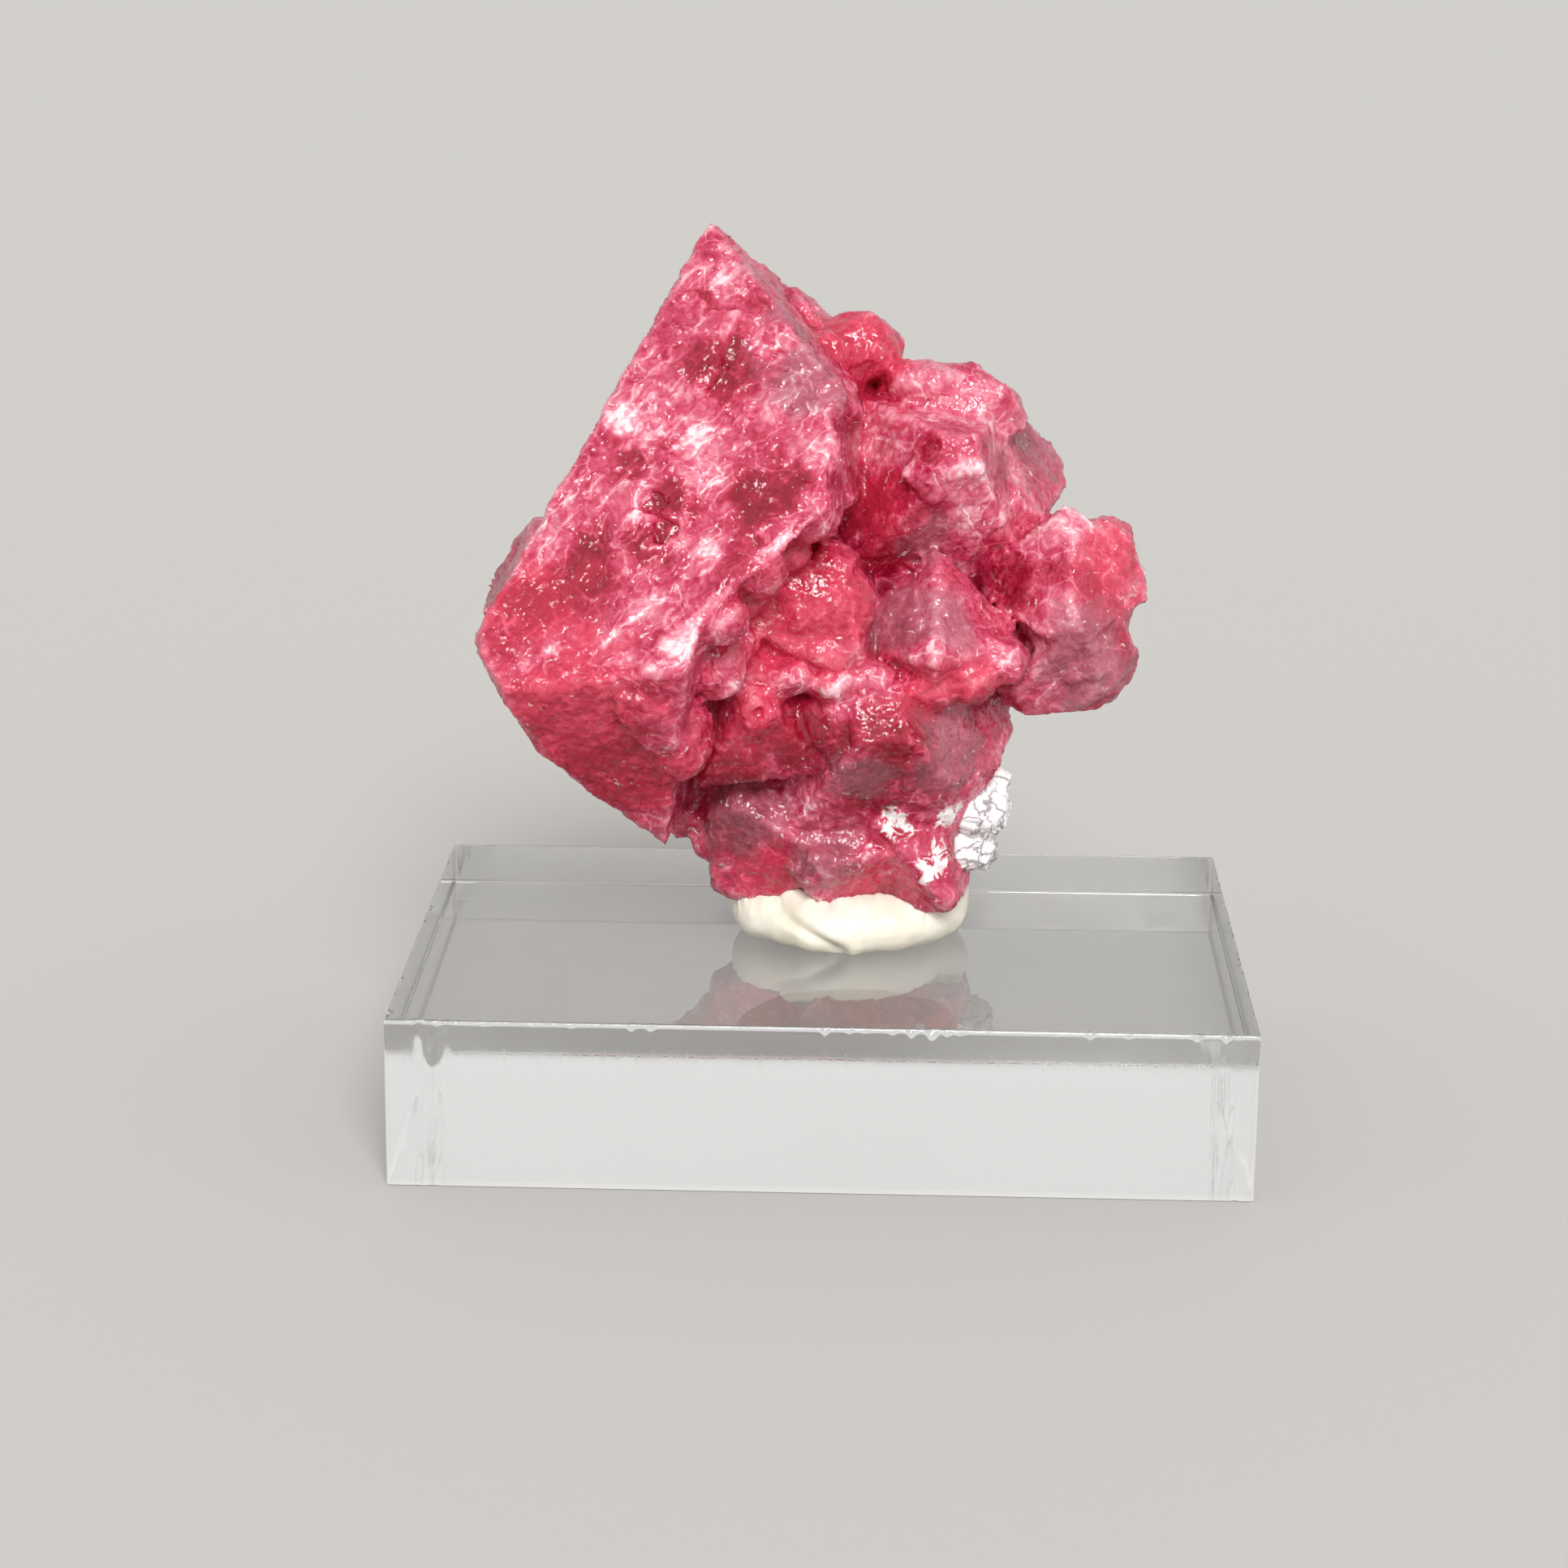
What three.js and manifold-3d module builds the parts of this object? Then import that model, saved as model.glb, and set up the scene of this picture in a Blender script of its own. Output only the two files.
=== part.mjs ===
// A pink spinel specimen: octahedral crystals grown together, with a remnant of white
// calcite, set in white mineral tack on a block of clear acrylic.
// Units are millimetres and +Z is up. The origin is the centre of the block's underside.
// The specimen's show face looks along -Y, and +X is to the right of it.
import * as THREE from "three";
import { ConvexGeometry } from "three/addons/geometries/ConvexGeometry.js";
import { mergeVertices } from "three/addons/utils/BufferGeometryUtils.js";
import Module from "manifold-3d";

const wasm = await Module();
wasm.setup();

// Driving dimensions of the block
const BLOCK_WIDTH = 44.5;
const BLOCK_DEPTH = 31.8;
const BLOCK_HEIGHT = 9;
const BLOCK_EDGE = 0.15;

// Driving dimensions of the tack: a pad pressed flat on the block, with a rolled rim
const TACK_CENTRE = [1.3, 0.9];
const TACK_RADII = [6.5, 5.3];
const TACK_HEIGHT = 4.4;

// Pieces that touch stand this far apart
const TOUCH_GAP = 0.3;

// The big octahedron: the distance from its centre to a corner, and where that centre is
const MAIN_REACH = 18.3;
const MAIN_CENTRE = [-3.6, 1, 29.4];
const FACE_SHARE = 1 / Math.sqrt(3);

const vector = (p) => new THREE.Vector3(...p);
const direction = (p) => vector(p).normalize();

// A small generator of random numbers, so that every build gives the same specimen
function randomFrom(seed) {
  let state = seed;
  return () => {
    state = (state + 0x6d2b79f5) | 0;
    let t = Math.imul(state ^ (state >>> 15), 1 | state);
    t = (t + Math.imul(t ^ (t >>> 7), 61 | t)) ^ t;
    return ((t ^ (t >>> 14)) >>> 0) / 4294967296;
  };
}
const between = (random, low, high) => low + (high - low) * random();
const anyDirection = (random) =>
  new THREE.Vector3(random() - 0.5, random() - 0.5, random() - 0.5).normalize();

// A closed geometry as a solid that can be joined and cut
function solid(geometry) {
  const bare = geometry.index ? geometry.toNonIndexed() : geometry.clone();
  bare.deleteAttribute("normal");
  bare.deleteAttribute("uv");
  const merged = mergeVertices(bare, 1e-4);
  return new wasm.Manifold(
    new wasm.Mesh({
      numProp: 3,
      vertProperties: merged.attributes.position.array,
      triVerts: new Uint32Array(merged.index.array),
    }),
  );
}

// A solid as a geometry that three.js can show
function geometryOf(made) {
  const mesh = made.getMesh();
  const geometry = new THREE.BufferGeometry();
  geometry.setAttribute("position", new THREE.BufferAttribute(mesh.vertProperties, mesh.numProp));
  geometry.setIndex(new THREE.BufferAttribute(mesh.triVerts, 1));
  return geometry;
}

const joined = (solids) => solids.reduce((all, one) => all.add(one));
const without = (made, solids) => solids.reduce((rest, one) => rest.subtract(one), made);

// The biggest of the bodies in a solid, with any sealed hollow inside it filled
const biggest = (made) => made.decompose().sort((a, b) => b.volume() - a.volume())[0];

// The convex solid inside a set of planes, each { normal, distance } from the origin
function insidePlanes(planes) {
  const corners = [];
  const cross = new THREE.Vector3();
  for (let i = 0; i < planes.length; i++)
    for (let j = i + 1; j < planes.length; j++)
      for (let k = j + 1; k < planes.length; k++) {
        const [p, q, r] = [planes[i], planes[j], planes[k]];
        const spread = p.normal.dot(cross.crossVectors(q.normal, r.normal));
        if (Math.abs(spread) < 1e-4) continue;
        const corner = new THREE.Vector3()
          .addScaledVector(new THREE.Vector3().crossVectors(q.normal, r.normal), p.distance)
          .addScaledVector(new THREE.Vector3().crossVectors(r.normal, p.normal), q.distance)
          .addScaledVector(new THREE.Vector3().crossVectors(p.normal, q.normal), r.distance)
          .divideScalar(spread);
        const isInside = planes.every((s) => s.normal.dot(corner) < s.distance + 1e-4);
        const isNew = corners.every((c) => c.distanceTo(corner) > 1e-3);
        if (isInside && isNew) corners.push(corner);
      }
  return solid(new ConvexGeometry(corners));
}

// How a crystal's three axes lie, from where one of its faces looks and how one edge of it runs
function axesFrom(face, edge) {
  const normal = direction(face);
  const along = vector(edge).addScaledVector(normal, -vector(edge).dot(normal)).normalize();
  const across = new THREE.Vector3().crossVectors(normal, along);
  // In the crystal's own axes this face looks along (1, 1, 1) and the edge runs from c to a.
  const own = new THREE.Matrix4().makeBasis(
    direction([1, 0, -1]),
    new THREE.Vector3().crossVectors(direction([1, 1, 1]), direction([1, 0, -1])),
    direction([1, 1, 1]),
  );
  return new THREE.Matrix4().makeBasis(along, across, normal).multiply(own.transpose());
}

const SIGNS = [1, -1];
const FACES = SIGNS.flatMap((a) => SIGNS.flatMap((b) => SIGNS.map((c) => [a, b, c])));
const nameOf = (signs) => signs.map((s) => (s > 0 ? "+" : "-")).join("");

// One octahedral crystal. reach is from its centre to a corner. faces moves single faces out
// from the even distance, corner cuts the corners back to a share of the reach, and cuts are
// { normal, at } planes in the part's frame, where a neighbour or a break ends the crystal.
// grow moves every plane out, for the room that a piece beside the crystal leaves it.
function crystal({ at, reach, face, edge, faces = {}, corner = 1, cuts = [], grow = 0 }) {
  const axes = axesFrom(face, edge);
  const centre = vector(at);
  const planes = FACES.map((signs) => ({
    normal: direction(signs).transformDirection(axes),
    distance: reach * FACE_SHARE + (faces[nameOf(signs)] ?? 0) + grow,
  }));
  if (corner < 1)
    for (const axis of [[1, 0, 0], [0, 1, 0], [0, 0, 1]])
      for (const sign of SIGNS)
        planes.push({
          normal: direction(axis).multiplyScalar(sign).transformDirection(axes),
          distance: reach * corner + grow,
        });
  for (const cut of cuts) {
    const normal = direction(cut.normal);
    planes.push({ normal, distance: normal.dot(vector(cut.at).sub(centre)) + grow });
  }
  return insidePlanes(planes).translate(at);
}

// A faceted lump with no crystal form: the hull of points spread evenly over an ellipsoid
function lump({ at, radii, corners = 16, rough = 0.16, seed, grow = 0 }) {
  const random = randomFrom(seed);
  const turn = random() * Math.PI;
  const points = Array.from({ length: corners }, (_, i) => {
    const z = 1 - (2 * i + 1) / corners;
    const angle = turn + i * Math.PI * (3 - Math.sqrt(5));
    const ring = Math.sqrt(1 - z * z);
    return new THREE.Vector3(Math.cos(angle) * ring, Math.sin(angle) * ring, z)
      .multiplyScalar(1 - rough * random())
      .multiply(vector(radii).addScalar(grow));
  });
  return solid(new ConvexGeometry(points)).translate(at);
}

// The big octahedron that shows one whole face to the front and ends in the specimen's peak
const MAIN = {
  at: MAIN_CENTRE,
  reach: MAIN_REACH,
  face: [-0.2, -0.78, 0.6],
  edge: [-0.44, -0.48, -0.76],
  faces: { "++-": 3.1, "+--": 2.1 },
  cuts: [
    { normal: [-0.92, -0.2, -0.36], at: [-17.9, -10.2, 27.7] },
    { normal: [-0.84, -0.2, -0.52], at: [-16.9, -10, 25.2] },
    { normal: [0.96, -0.2, 0.1], at: [-0.3, -9.9, 34] },
    { normal: [0.15, 1, 0.1], at: [-3, 10.5, 30] },
    { normal: [0.1, 0.5, -0.86], at: [-7, -4, 14.6] },
  ],
};

// The big crystal's front corner is broken off, a step down to the smaller crystals there
const lostCorner = () =>
  insidePlanes([
    { normal: direction([-0.66, 0.2, 0.72]), distance: 0 },
    { normal: direction([-0.97, 0.1, 0.2]), distance: 0.4 },
    { normal: direction([0, -1, 0]), distance: 20 },
    { normal: direction([0, 1, 0]), distance: 9 },
    { normal: direction([1, 0, 0]), distance: 20 },
    { normal: direction([0, 0, -1]), distance: 20 },
  ]).translate([-5.6, -10, 29.4]);

// The crystals round the big one, from the top of the specimen down
const NEIGHBOURS = {
  upperRight: {
    at: [4.9, 2.4, 33.4],
    reach: 8.2,
    face: [-0.62, -0.73, 0.28],
    edge: [0.6, -0.24, 0.7],
    corner: 0.84,
    cuts: [{ normal: [0.62, 0, 0.78], at: [8, 2, 38.9] }],
  },
  upperRightBack: {
    at: [7.2, 5, 32.6],
    reach: 7,
    face: [0.75, -0.35, 0.55],
    edge: [0.4, -0.5, -0.8],
    corner: 0.78,
  },
  rightHigh: {
    at: [12.3, 0.2, 28.7],
    reach: 5.5,
    face: [-0.5, -0.82, 0.25],
    edge: [0, 0.25, 1],
    corner: 0.79,
  },
  rightLow: {
    at: [12.1, 0.4, 25.2],
    reach: 5.2,
    face: [0.2, -0.85, -0.45],
    edge: [1, 0.2, 0],
    corner: 0.78,
  },
  redFront: {
    at: [-1.1, -3.7, 28],
    reach: 5.3,
    face: [0.1, -0.98, 0.15],
    edge: [1, 0, -0.45],
    corner: 0.79,
  },
  mauvePyramid: { at: [5.5, -2.2, 25.9], reach: 5.2, face: [-0.58, -0.58, 0.58], edge: [0, 0.7, 0.7] },
  hangingTip: { at: [-3.8, -3.6, 22.2], reach: 5, face: [0.1, -0.85, -0.5], edge: [1, 0, 0.1] },
  lowerBig: {
    at: [2.6, 1.4, 20],
    reach: 10.4,
    face: [0.1, -0.82, -0.56],
    edge: [1, 0.05, 0.1],
    corner: 0.82,
    cuts: [
      { normal: [0.88, 0, -0.48], at: [10.9, 0, 22] },
      { normal: [0.8, -0.5, -0.35], at: [7.4, -2, 17] },
      { normal: [-0.3, 0, -0.95], at: [-4, 0, 12] },
    ],
  },
  lowerEdge: { at: [-5.6, 0.6, 15.6], reach: 3.7, face: [-0.5, -0.8, 0.3], edge: [0.5, 0, 0.8], corner: 0.8 },
  lowerLeft: {
    at: [-2.9, 0.4, 15.2],
    reach: 6.2,
    face: [-0.25, -0.9, -0.35],
    edge: [0.8, 0, 0.5],
    corner: 0.78,
    cuts: [{ normal: [-0.1, -0.15, -1], at: [-2, -1, 10.9] }],
  },
  lowerMiddle: {
    at: [1.4, 0.4, 14.2],
    reach: 6.4,
    face: [0.1, -0.75, 0.6],
    edge: [0.9, 0.2, 0.1],
    corner: 0.8,
    cuts: [{ normal: [0, 0, -1], at: [2, 0, 9.7] }],
  },
  lowerRight: {
    at: [4.8, -0.1, 14.5],
    reach: 5.6,
    face: [0.4, -0.85, 0.3],
    edge: [0.3, 0.2, 0.9],
    corner: 0.84,
    cuts: [
      { normal: [0.55, 0, -0.83], at: [6, -1, 11] },
      { normal: [0.9, -0.3, 0.3], at: [7, -1.5, 14] },
    ],
  },
  rearLeft: {
    at: [-15, 4.6, 26.8],
    reach: 5.2,
    face: [-0.85, -0.2, 0.5],
    edge: [0, 0.9, 0.3],
    corner: 0.8,
  },
  rearBig: {
    at: [1.5, 5.5, 26.5],
    reach: 10.6,
    face: [0.35, 0.85, 0.4],
    edge: [0.8, -0.3, 0.2],
    corner: 0.85,
  },
  rearLow: {
    at: [-3, 5.4, 18.6],
    reach: 7.6,
    face: [-0.4, 0.8, -0.4],
    edge: [0.7, 0.5, 0.2],
    corner: 0.86,
  },
};

// Rounded crystals that show no clear form: the bead at the top, and the lobes and rubble
// in the front between the big crystals
const ROUNDED = [
  { at: [1.6, 3, 40.5], radii: [2.3, 2, 2.1], corners: 22, seed: 3 },
  { at: [5.2, -4.2, 24.2], radii: [2.5, 2.2, 1.7], seed: 11 },
  { at: [7.4, -3.9, 24.6], radii: [2, 2, 1.8], seed: 12 },
  { at: [8.9, -3, 25.2], radii: [1.9, 2, 1.6], seed: 13 },
  { at: [-4.3, -5.6, 25.6], radii: [1.9, 1.9, 1.3], seed: 14 },
  { at: [-2.2, -6, 24.9], radii: [1.8, 1.7, 1.2], seed: 15 },
  { at: [0, -5.6, 24.5], radii: [1.9, 1.8, 1.2], seed: 16 },
  { at: [2.2, -5, 24.6], radii: [1.7, 1.7, 1.2], seed: 17 },
  { at: [-0.2, -1.4, 38], radii: [2, 2.4, 2.4], seed: 18 },
  { at: [-0.4, -3.4, 34.6], radii: [1.8, 2.2, 2], seed: 19 },
  { at: [4.6, 1.6, 39.2], radii: [2.3, 2, 1.3], seed: 20 },
  { at: [15, 0.8, 31], radii: [1.3, 1.6, 1.3], seed: 21 },
];

// Where a crystal's face named by its signs lies: its normal, its middle and its corners
function faceOf(host, signs) {
  const axes = axesFrom(host.face, host.edge);
  const normal = direction(signs).transformDirection(axes);
  const offset = host.faces?.[nameOf(signs)] ?? 0;
  const corners = [0, 1, 2].map((i) => {
    const axis = new THREE.Vector3().setComponent(i, signs[i]).transformDirection(axes);
    return vector(host.at).addScaledVector(axis, host.reach).addScaledVector(normal, offset);
  });
  const middle = new THREE.Vector3().add(corners[0]).add(corners[1]).add(corners[2]);
  return { normal, middle: middle.divideScalar(3), corners };
}

// A random point in a triangle
function spotIn({ a, b, c }, random) {
  const [u, v] = [random(), random()];
  const [toB, toC] = u + v > 1 ? [1 - u, 1 - v] : [u, v];
  return a
    .clone()
    .addScaledVector(b.clone().sub(a), toB)
    .addScaledVector(c.clone().sub(a), toC);
}

// A random point on a face of a crystal, a little way in from the edges
const spotOn = ({ corners, middle }, random) =>
  spotIn(new THREE.Triangle(...corners), random).lerp(middle, 0.12);

// Growth ledges: the parts of a crystal with one face moved out, each inside a rough column
// that stands on that face
function ledges(host, signs, steps, seed) {
  const random = randomFrom(seed);
  const face = faceOf(host, signs);
  const across = anyDirection(random).cross(face.normal).normalize();
  const up = new THREE.Vector3().crossVectors(face.normal, across);
  return steps.map(({ height, size }) => {
    const spot = spotOn(face, random);
    const turn = random() * Math.PI;
    const sides = 7;
    const rim = Array.from({ length: sides }, (_, i) => {
      const angle = turn + (i / sides) * Math.PI * 2;
      const wide = size * between(random, 0.6, 1);
      return spot
        .clone()
        .addScaledVector(across, Math.cos(angle) * wide)
        .addScaledVector(up, Math.sin(angle) * wide * 0.6);
    });
    const column = rim.flatMap((p) => [
      p.clone().addScaledVector(face.normal, -1),
      p.clone().addScaledVector(face.normal, 1),
    ]);
    const faces = { ...host.faces, [nameOf(signs)]: (host.faces?.[nameOf(signs)] ?? 0) + height };
    return crystal({ ...host, faces }).intersect(solid(new ConvexGeometry(column)));
  });
}

// Growth pits: small octahedra sunk in a face, turned half round from the crystal they cut
function pits(host, signs, count, sizes, seed) {
  const random = randomFrom(seed);
  const face = faceOf(host, signs);
  const edge = face.corners[0].clone().sub(face.corners[1]);
  return Array.from({ length: count }, () => {
    const reach = between(random, ...sizes);
    const tilt = anyDirection(random).multiplyScalar(0.5);
    return crystal({
      at: spotOn(face, random).addScaledVector(face.normal, reach * between(random, 0.22, 0.44)).toArray(),
      reach,
      face: face.normal.clone().addScaledVector(tilt, 0.6).toArray(),
      edge: edge.clone().normalize().add(tilt).toArray(),
    });
  });
}

// Random places on a solid's surface, more of them on its larger faces
function placesOn(made, count, random, isWanted) {
  const { vertProperties: points, triVerts: triangles } = made.getMesh();
  const corner = (i) => new THREE.Vector3().fromArray(points, triangles[i] * 3);
  const facets = [];
  let total = 0;
  for (let i = 0; i < triangles.length; i += 3) {
    const facet = new THREE.Triangle(corner(i), corner(i + 1), corner(i + 2));
    total += facet.getArea();
    facets.push({ facet, upTo: total });
  }
  const places = [];
  while (places.length < count) {
    const target = random() * total;
    const { facet } = facets.find(({ upTo }) => upTo >= target);
    const place = { at: spotIn(facet, random), normal: facet.getNormal(new THREE.Vector3()) };
    if (isWanted(place)) places.push(place);
  }
  return places;
}

// Small octahedra that stand half out of the surface, and angular pits sunk in it
function smallCrystals(made, count, sizes, out, seed, isWanted) {
  const random = randomFrom(seed);
  return placesOn(made, count, random, isWanted).map(({ at, normal }) => {
    const reach = between(random, ...sizes);
    return crystal({
      at: at.addScaledVector(normal, reach * between(random, ...out)).toArray(),
      reach,
      face: normal.clone().addScaledVector(anyDirection(random), 0.7).toArray(),
      edge: anyDirection(random).toArray(),
      corner: between(random, 0.75, 1),
    });
  });
}

const SHOW_FACE_LEDGES = [
  { height: 0.2, size: 7 },
  { height: 0.2, size: 6 },
  { height: 0.35, size: 4.4 },
  { height: 0.35, size: 4 },
  { height: 0.5, size: 2.6 },
  { height: 0.5, size: 2.2 },
];
const SIDE_FACE_LEDGES = [
  { height: 0.25, size: 5 },
  { height: 0.45, size: 3 },
];

// The tack and the calcite lie against the low crystals, which stay plain there, and so do
// the faces of the two crystals in the middle of the front.
const LOW_LIMIT = 14.2;
const isBesideCalcite = ({ x, z }) => x > 5.5 && z < 20;
const SMOOTH_SPOTS = [
  { middle: vector([5.4, -5, 28]), within: 4.4 },
  { middle: vector([-1, -6.5, 28.4]), within: 4.2 },
];
const isClear = ({ at }) =>
  at.z > LOW_LIMIT &&
  !isBesideCalcite(at) &&
  SMOOTH_SPOTS.every(({ middle, within }) => at.distanceTo(middle) > within);

function specimen() {
  const [a, b, c] = [[1, 1, 1], [1, 1, -1], [-1, 1, 1]];
  const main = joined([
    crystal(MAIN),
    ...ledges(MAIN, a, SHOW_FACE_LEDGES, 5),
    ...ledges(MAIN, b, SIDE_FACE_LEDGES, 8),
    ...ledges(MAIN, c, SIDE_FACE_LEDGES, 9),
  ]);
  const pitted = without(main, [
    lostCorner(),
    ...pits(MAIN, a, 14, [0.5, 1.3], 24),
    ...pits(MAIN, b, 8, [0.5, 1.2], 22),
    ...pits(MAIN, c, 6, [0.5, 1.2], 23),
  ]);
  const crust = joined([...Object.values(NEIGHBOURS).map(crystal), ...ROUNDED.map(lump)]);
  const rough = without(
    crust.add(joined(smallCrystals(crust, 56, [0.9, 1.9], [-0.55, -0.38], 34, isClear))),
    smallCrystals(crust, 26, [0.6, 1.4], [0.15, 0.42], 32, isClear),
  );
  return biggest(pitted.add(rough));
}

// A ball pulled out to an ellipsoid whose rim wavers, as a pinch of soft tack does
function blob({ at, radii, waver, seed }) {
  const random = randomFrom(seed);
  const phase = random() * Math.PI * 2;
  const ball = new THREE.SphereGeometry(1, 22, 10);
  const place = ball.attributes.position;
  for (let i = 0; i < place.count; i++) {
    // three.js turns its sphere round Y, so its Z and Y change places here.
    const [x, y, z] = [place.getX(i), -place.getZ(i), place.getY(i)];
    const angle = Math.atan2(y, x);
    const wide = 1 + waver * (Math.sin(2 * angle + phase) + 0.6 * Math.sin(3 * angle - phase));
    place.setXYZ(i, x * radii[0] * wide, y * radii[1] * wide, z * radii[2]);
  }
  return solid(ball).translate(at);
}

// White tack: a flattened pad, a rolled lobe at the left and a taller one at the right
function tack() {
  const [x, y] = TACK_CENTRE;
  const z = BLOCK_HEIGHT;
  const pad = blob({ at: [x, y, z + 1.2], radii: [...TACK_RADII, 2.4], waver: 0.03, seed: 41 });
  const leftLobe = blob({
    at: [x - 4.2, y - 0.6, z + 1.7],
    radii: [2.6, 3.2, 2.2],
    waver: 0.05,
    seed: 42,
  });
  const rightLobe = blob({
    at: [x + 4.4, y + 0.4, z + 2],
    radii: [2.1, 3.6, 2.4],
    waver: 0.05,
    seed: 43,
  });
  // The block's top presses the tack flat underneath.
  const above = new THREE.BoxGeometry(BLOCK_WIDTH, BLOCK_DEPTH, TACK_HEIGHT);
  above.translate(0, 0, BLOCK_HEIGHT + TACK_HEIGHT / 2);
  return biggest(
    without(joined([pad, leftLobe, rightLobe]).intersect(solid(above)), roomForCrystals()),
  );
}

// What is left of the calcite that the crystals grew in, at the lower right
function calcite() {
  const grains = [
    { at: [8.1, 0.4, 16], radii: [2, 3.2, 1.9], corners: 28, seed: 51 },
    { at: [7.7, 0.4, 14.1], radii: [1.7, 3, 1.8], corners: 26, seed: 52 },
    { at: [8.9, 1.6, 17.3], radii: [1.1, 2.3, 1.2], corners: 18, seed: 53 },
  ];
  return biggest(without(joined(grains.map(lump)), roomForCrystals()));
}

// The smaller crystals, each with the gap round it that the tack and the calcite leave
const roomForCrystals = () =>
  Object.values(NEIGHBOURS).map((one) => crystal({ ...one, grow: TOUCH_GAP }));

// Clear acrylic block with finely eased edges
function blockGeometry() {
  const [x, y] = [BLOCK_WIDTH / 2 - BLOCK_EDGE, BLOCK_DEPTH / 2 - BLOCK_EDGE];
  const outline = new THREE.Shape([
    new THREE.Vector2(-x, -y),
    new THREE.Vector2(x, -y),
    new THREE.Vector2(x, y),
    new THREE.Vector2(-x, y),
  ]);
  return new THREE.ExtrudeGeometry(outline, {
    depth: BLOCK_HEIGHT - 2 * BLOCK_EDGE,
    bevelThickness: BLOCK_EDGE,
    bevelSize: BLOCK_EDGE,
    bevelSegments: 1,
  }).translate(0, 0, BLOCK_EDGE);
}

const material = (color, roughness, extra = {}) =>
  new THREE.MeshStandardMaterial({ color, roughness, metalness: 0, ...extra });

function piece(name, geometry, look) {
  const mesh = new THREE.Mesh(geometry, look);
  mesh.name = name;
  return mesh;
}

const part = new THREE.Group();
part.add(
  piece("acrylic_block", blockGeometry(), material(0xe8f0ee, 0.05, { transparent: true, opacity: 0.35 })),
  piece("mineral_tack", geometryOf(tack()), material(0xf2f0e2, 0.6)),
  piece("spinel_crystals", geometryOf(specimen()), material(0xc04565, 0.3)),
  piece("calcite_remnant", geometryOf(calcite()), material(0xf4f2ee, 0.35)),
);

export default part;
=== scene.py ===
# %% [markdown]
# # A pink spinel specimen on a clear acrylic block
#
# This lesson dresses a mineral specimen that a CAD program has already built. The real one is
# a cluster of octahedral spinel crystals, about 38 mm tall, stuck with white tack on a small
# block of clear acrylic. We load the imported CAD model, give each piece a finer mesh where the
# real thing is rough or soft, and make a material for each of the four substances.

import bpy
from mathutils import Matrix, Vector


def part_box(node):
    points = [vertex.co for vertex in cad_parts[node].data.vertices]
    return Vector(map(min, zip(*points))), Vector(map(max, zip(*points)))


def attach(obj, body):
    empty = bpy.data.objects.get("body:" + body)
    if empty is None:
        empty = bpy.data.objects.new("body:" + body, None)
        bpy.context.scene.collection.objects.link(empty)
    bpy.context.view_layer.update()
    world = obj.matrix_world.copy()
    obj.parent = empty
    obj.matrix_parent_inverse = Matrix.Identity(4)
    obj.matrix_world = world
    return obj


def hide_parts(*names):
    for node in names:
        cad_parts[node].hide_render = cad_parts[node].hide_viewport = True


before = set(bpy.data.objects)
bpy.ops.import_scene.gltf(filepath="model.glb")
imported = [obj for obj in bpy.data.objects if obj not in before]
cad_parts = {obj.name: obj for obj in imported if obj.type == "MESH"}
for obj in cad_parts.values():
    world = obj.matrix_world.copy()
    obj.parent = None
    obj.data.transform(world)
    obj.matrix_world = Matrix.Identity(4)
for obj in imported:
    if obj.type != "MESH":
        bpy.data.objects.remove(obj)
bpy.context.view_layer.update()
print("CAD pieces:", sorted(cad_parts))

# %% [markdown]
# Blender works in metres, but a specimen this small is easier to think of in millimetres. So
# all sizes and places below are in millimetres, and they are turned to metres where a mesh,
# a lamp or a texture takes them.

# %% Imports and units
import math

import bmesh
import bpy
import numpy as np
from mathutils import Matrix, Vector, noise
from mathutils.bvhtree import BVHTree

MM = 0.001

# %% [markdown]
# ## The camera
#
# The camera's place was worked out from the corners of the block in the photograph: only one
# place, direction and lens lay a box of known shape on its own corners. It stands 200 mm away
# and a little over 15 degrees above the specimen, with a narrow lens, as for a macro shot.

# %% Camera
CAMERA_PLACE = (3.236, -200.472, 72.917)
CAMERA_AZIMUTH = math.radians(1.62)
CAMERA_ELEVATION = math.radians(15.48)
CAMERA_ROLL = math.radians(0.53)
CAMERA_LENS = 88.36

camera = bpy.data.objects.new("camera", bpy.data.cameras.new("camera"))
bpy.context.scene.collection.objects.link(camera)
bpy.context.scene.camera = camera
camera.data.lens = CAMERA_LENS
camera.data.sensor_width = 36
camera.data.clip_start = 0.01
camera.matrix_world = (
    Matrix.Translation(Vector(CAMERA_PLACE) * MM)
    @ Matrix.Rotation(CAMERA_AZIMUTH, 4, "Z")
    @ Matrix.Rotation(math.pi / 2 - CAMERA_ELEVATION, 4, "X")
    @ Matrix.Rotation(CAMERA_ROLL, 4, "Z")
)
print("camera at", CAMERA_PLACE, "mm")

# %% [markdown]
# ## Colours and nodes
#
# Colours are written as they look on a screen, as sRGB hex values, and one function turns
# them into the linear values that the renderer adds up. One small function adds a shader
# node. Its inputs may be plain values, sockets, or whole nodes, which stand for their first
# output.


# %% Helpers for colours and nodes
def linear(hex_colour):
    """The linear RGBA of an sRGB hex colour such as "#c8506c"."""
    shares = [int(hex_colour[i : i + 2], 16) / 255 for i in (1, 3, 5)]
    return [s / 12.92 if s <= 0.04045 else ((s + 0.055) / 1.055) ** 2.4 for s in shares] + [1.0]


def add(tree, kind, inputs=None, **settings):
    """Adds a shader node of a kind, with its settings, its input values and its links."""
    node = tree.nodes.new("ShaderNode" + kind)
    for name, value in settings.items():
        setattr(node, name, value)
    for name, value in (inputs or {}).items():
        source = value.outputs[0] if isinstance(value, bpy.types.Node) else value
        if isinstance(source, bpy.types.NodeSocket):
            tree.links.new(source, node.inputs[name])
        else:
            node.inputs[name].default_value = source
    return node


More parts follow.
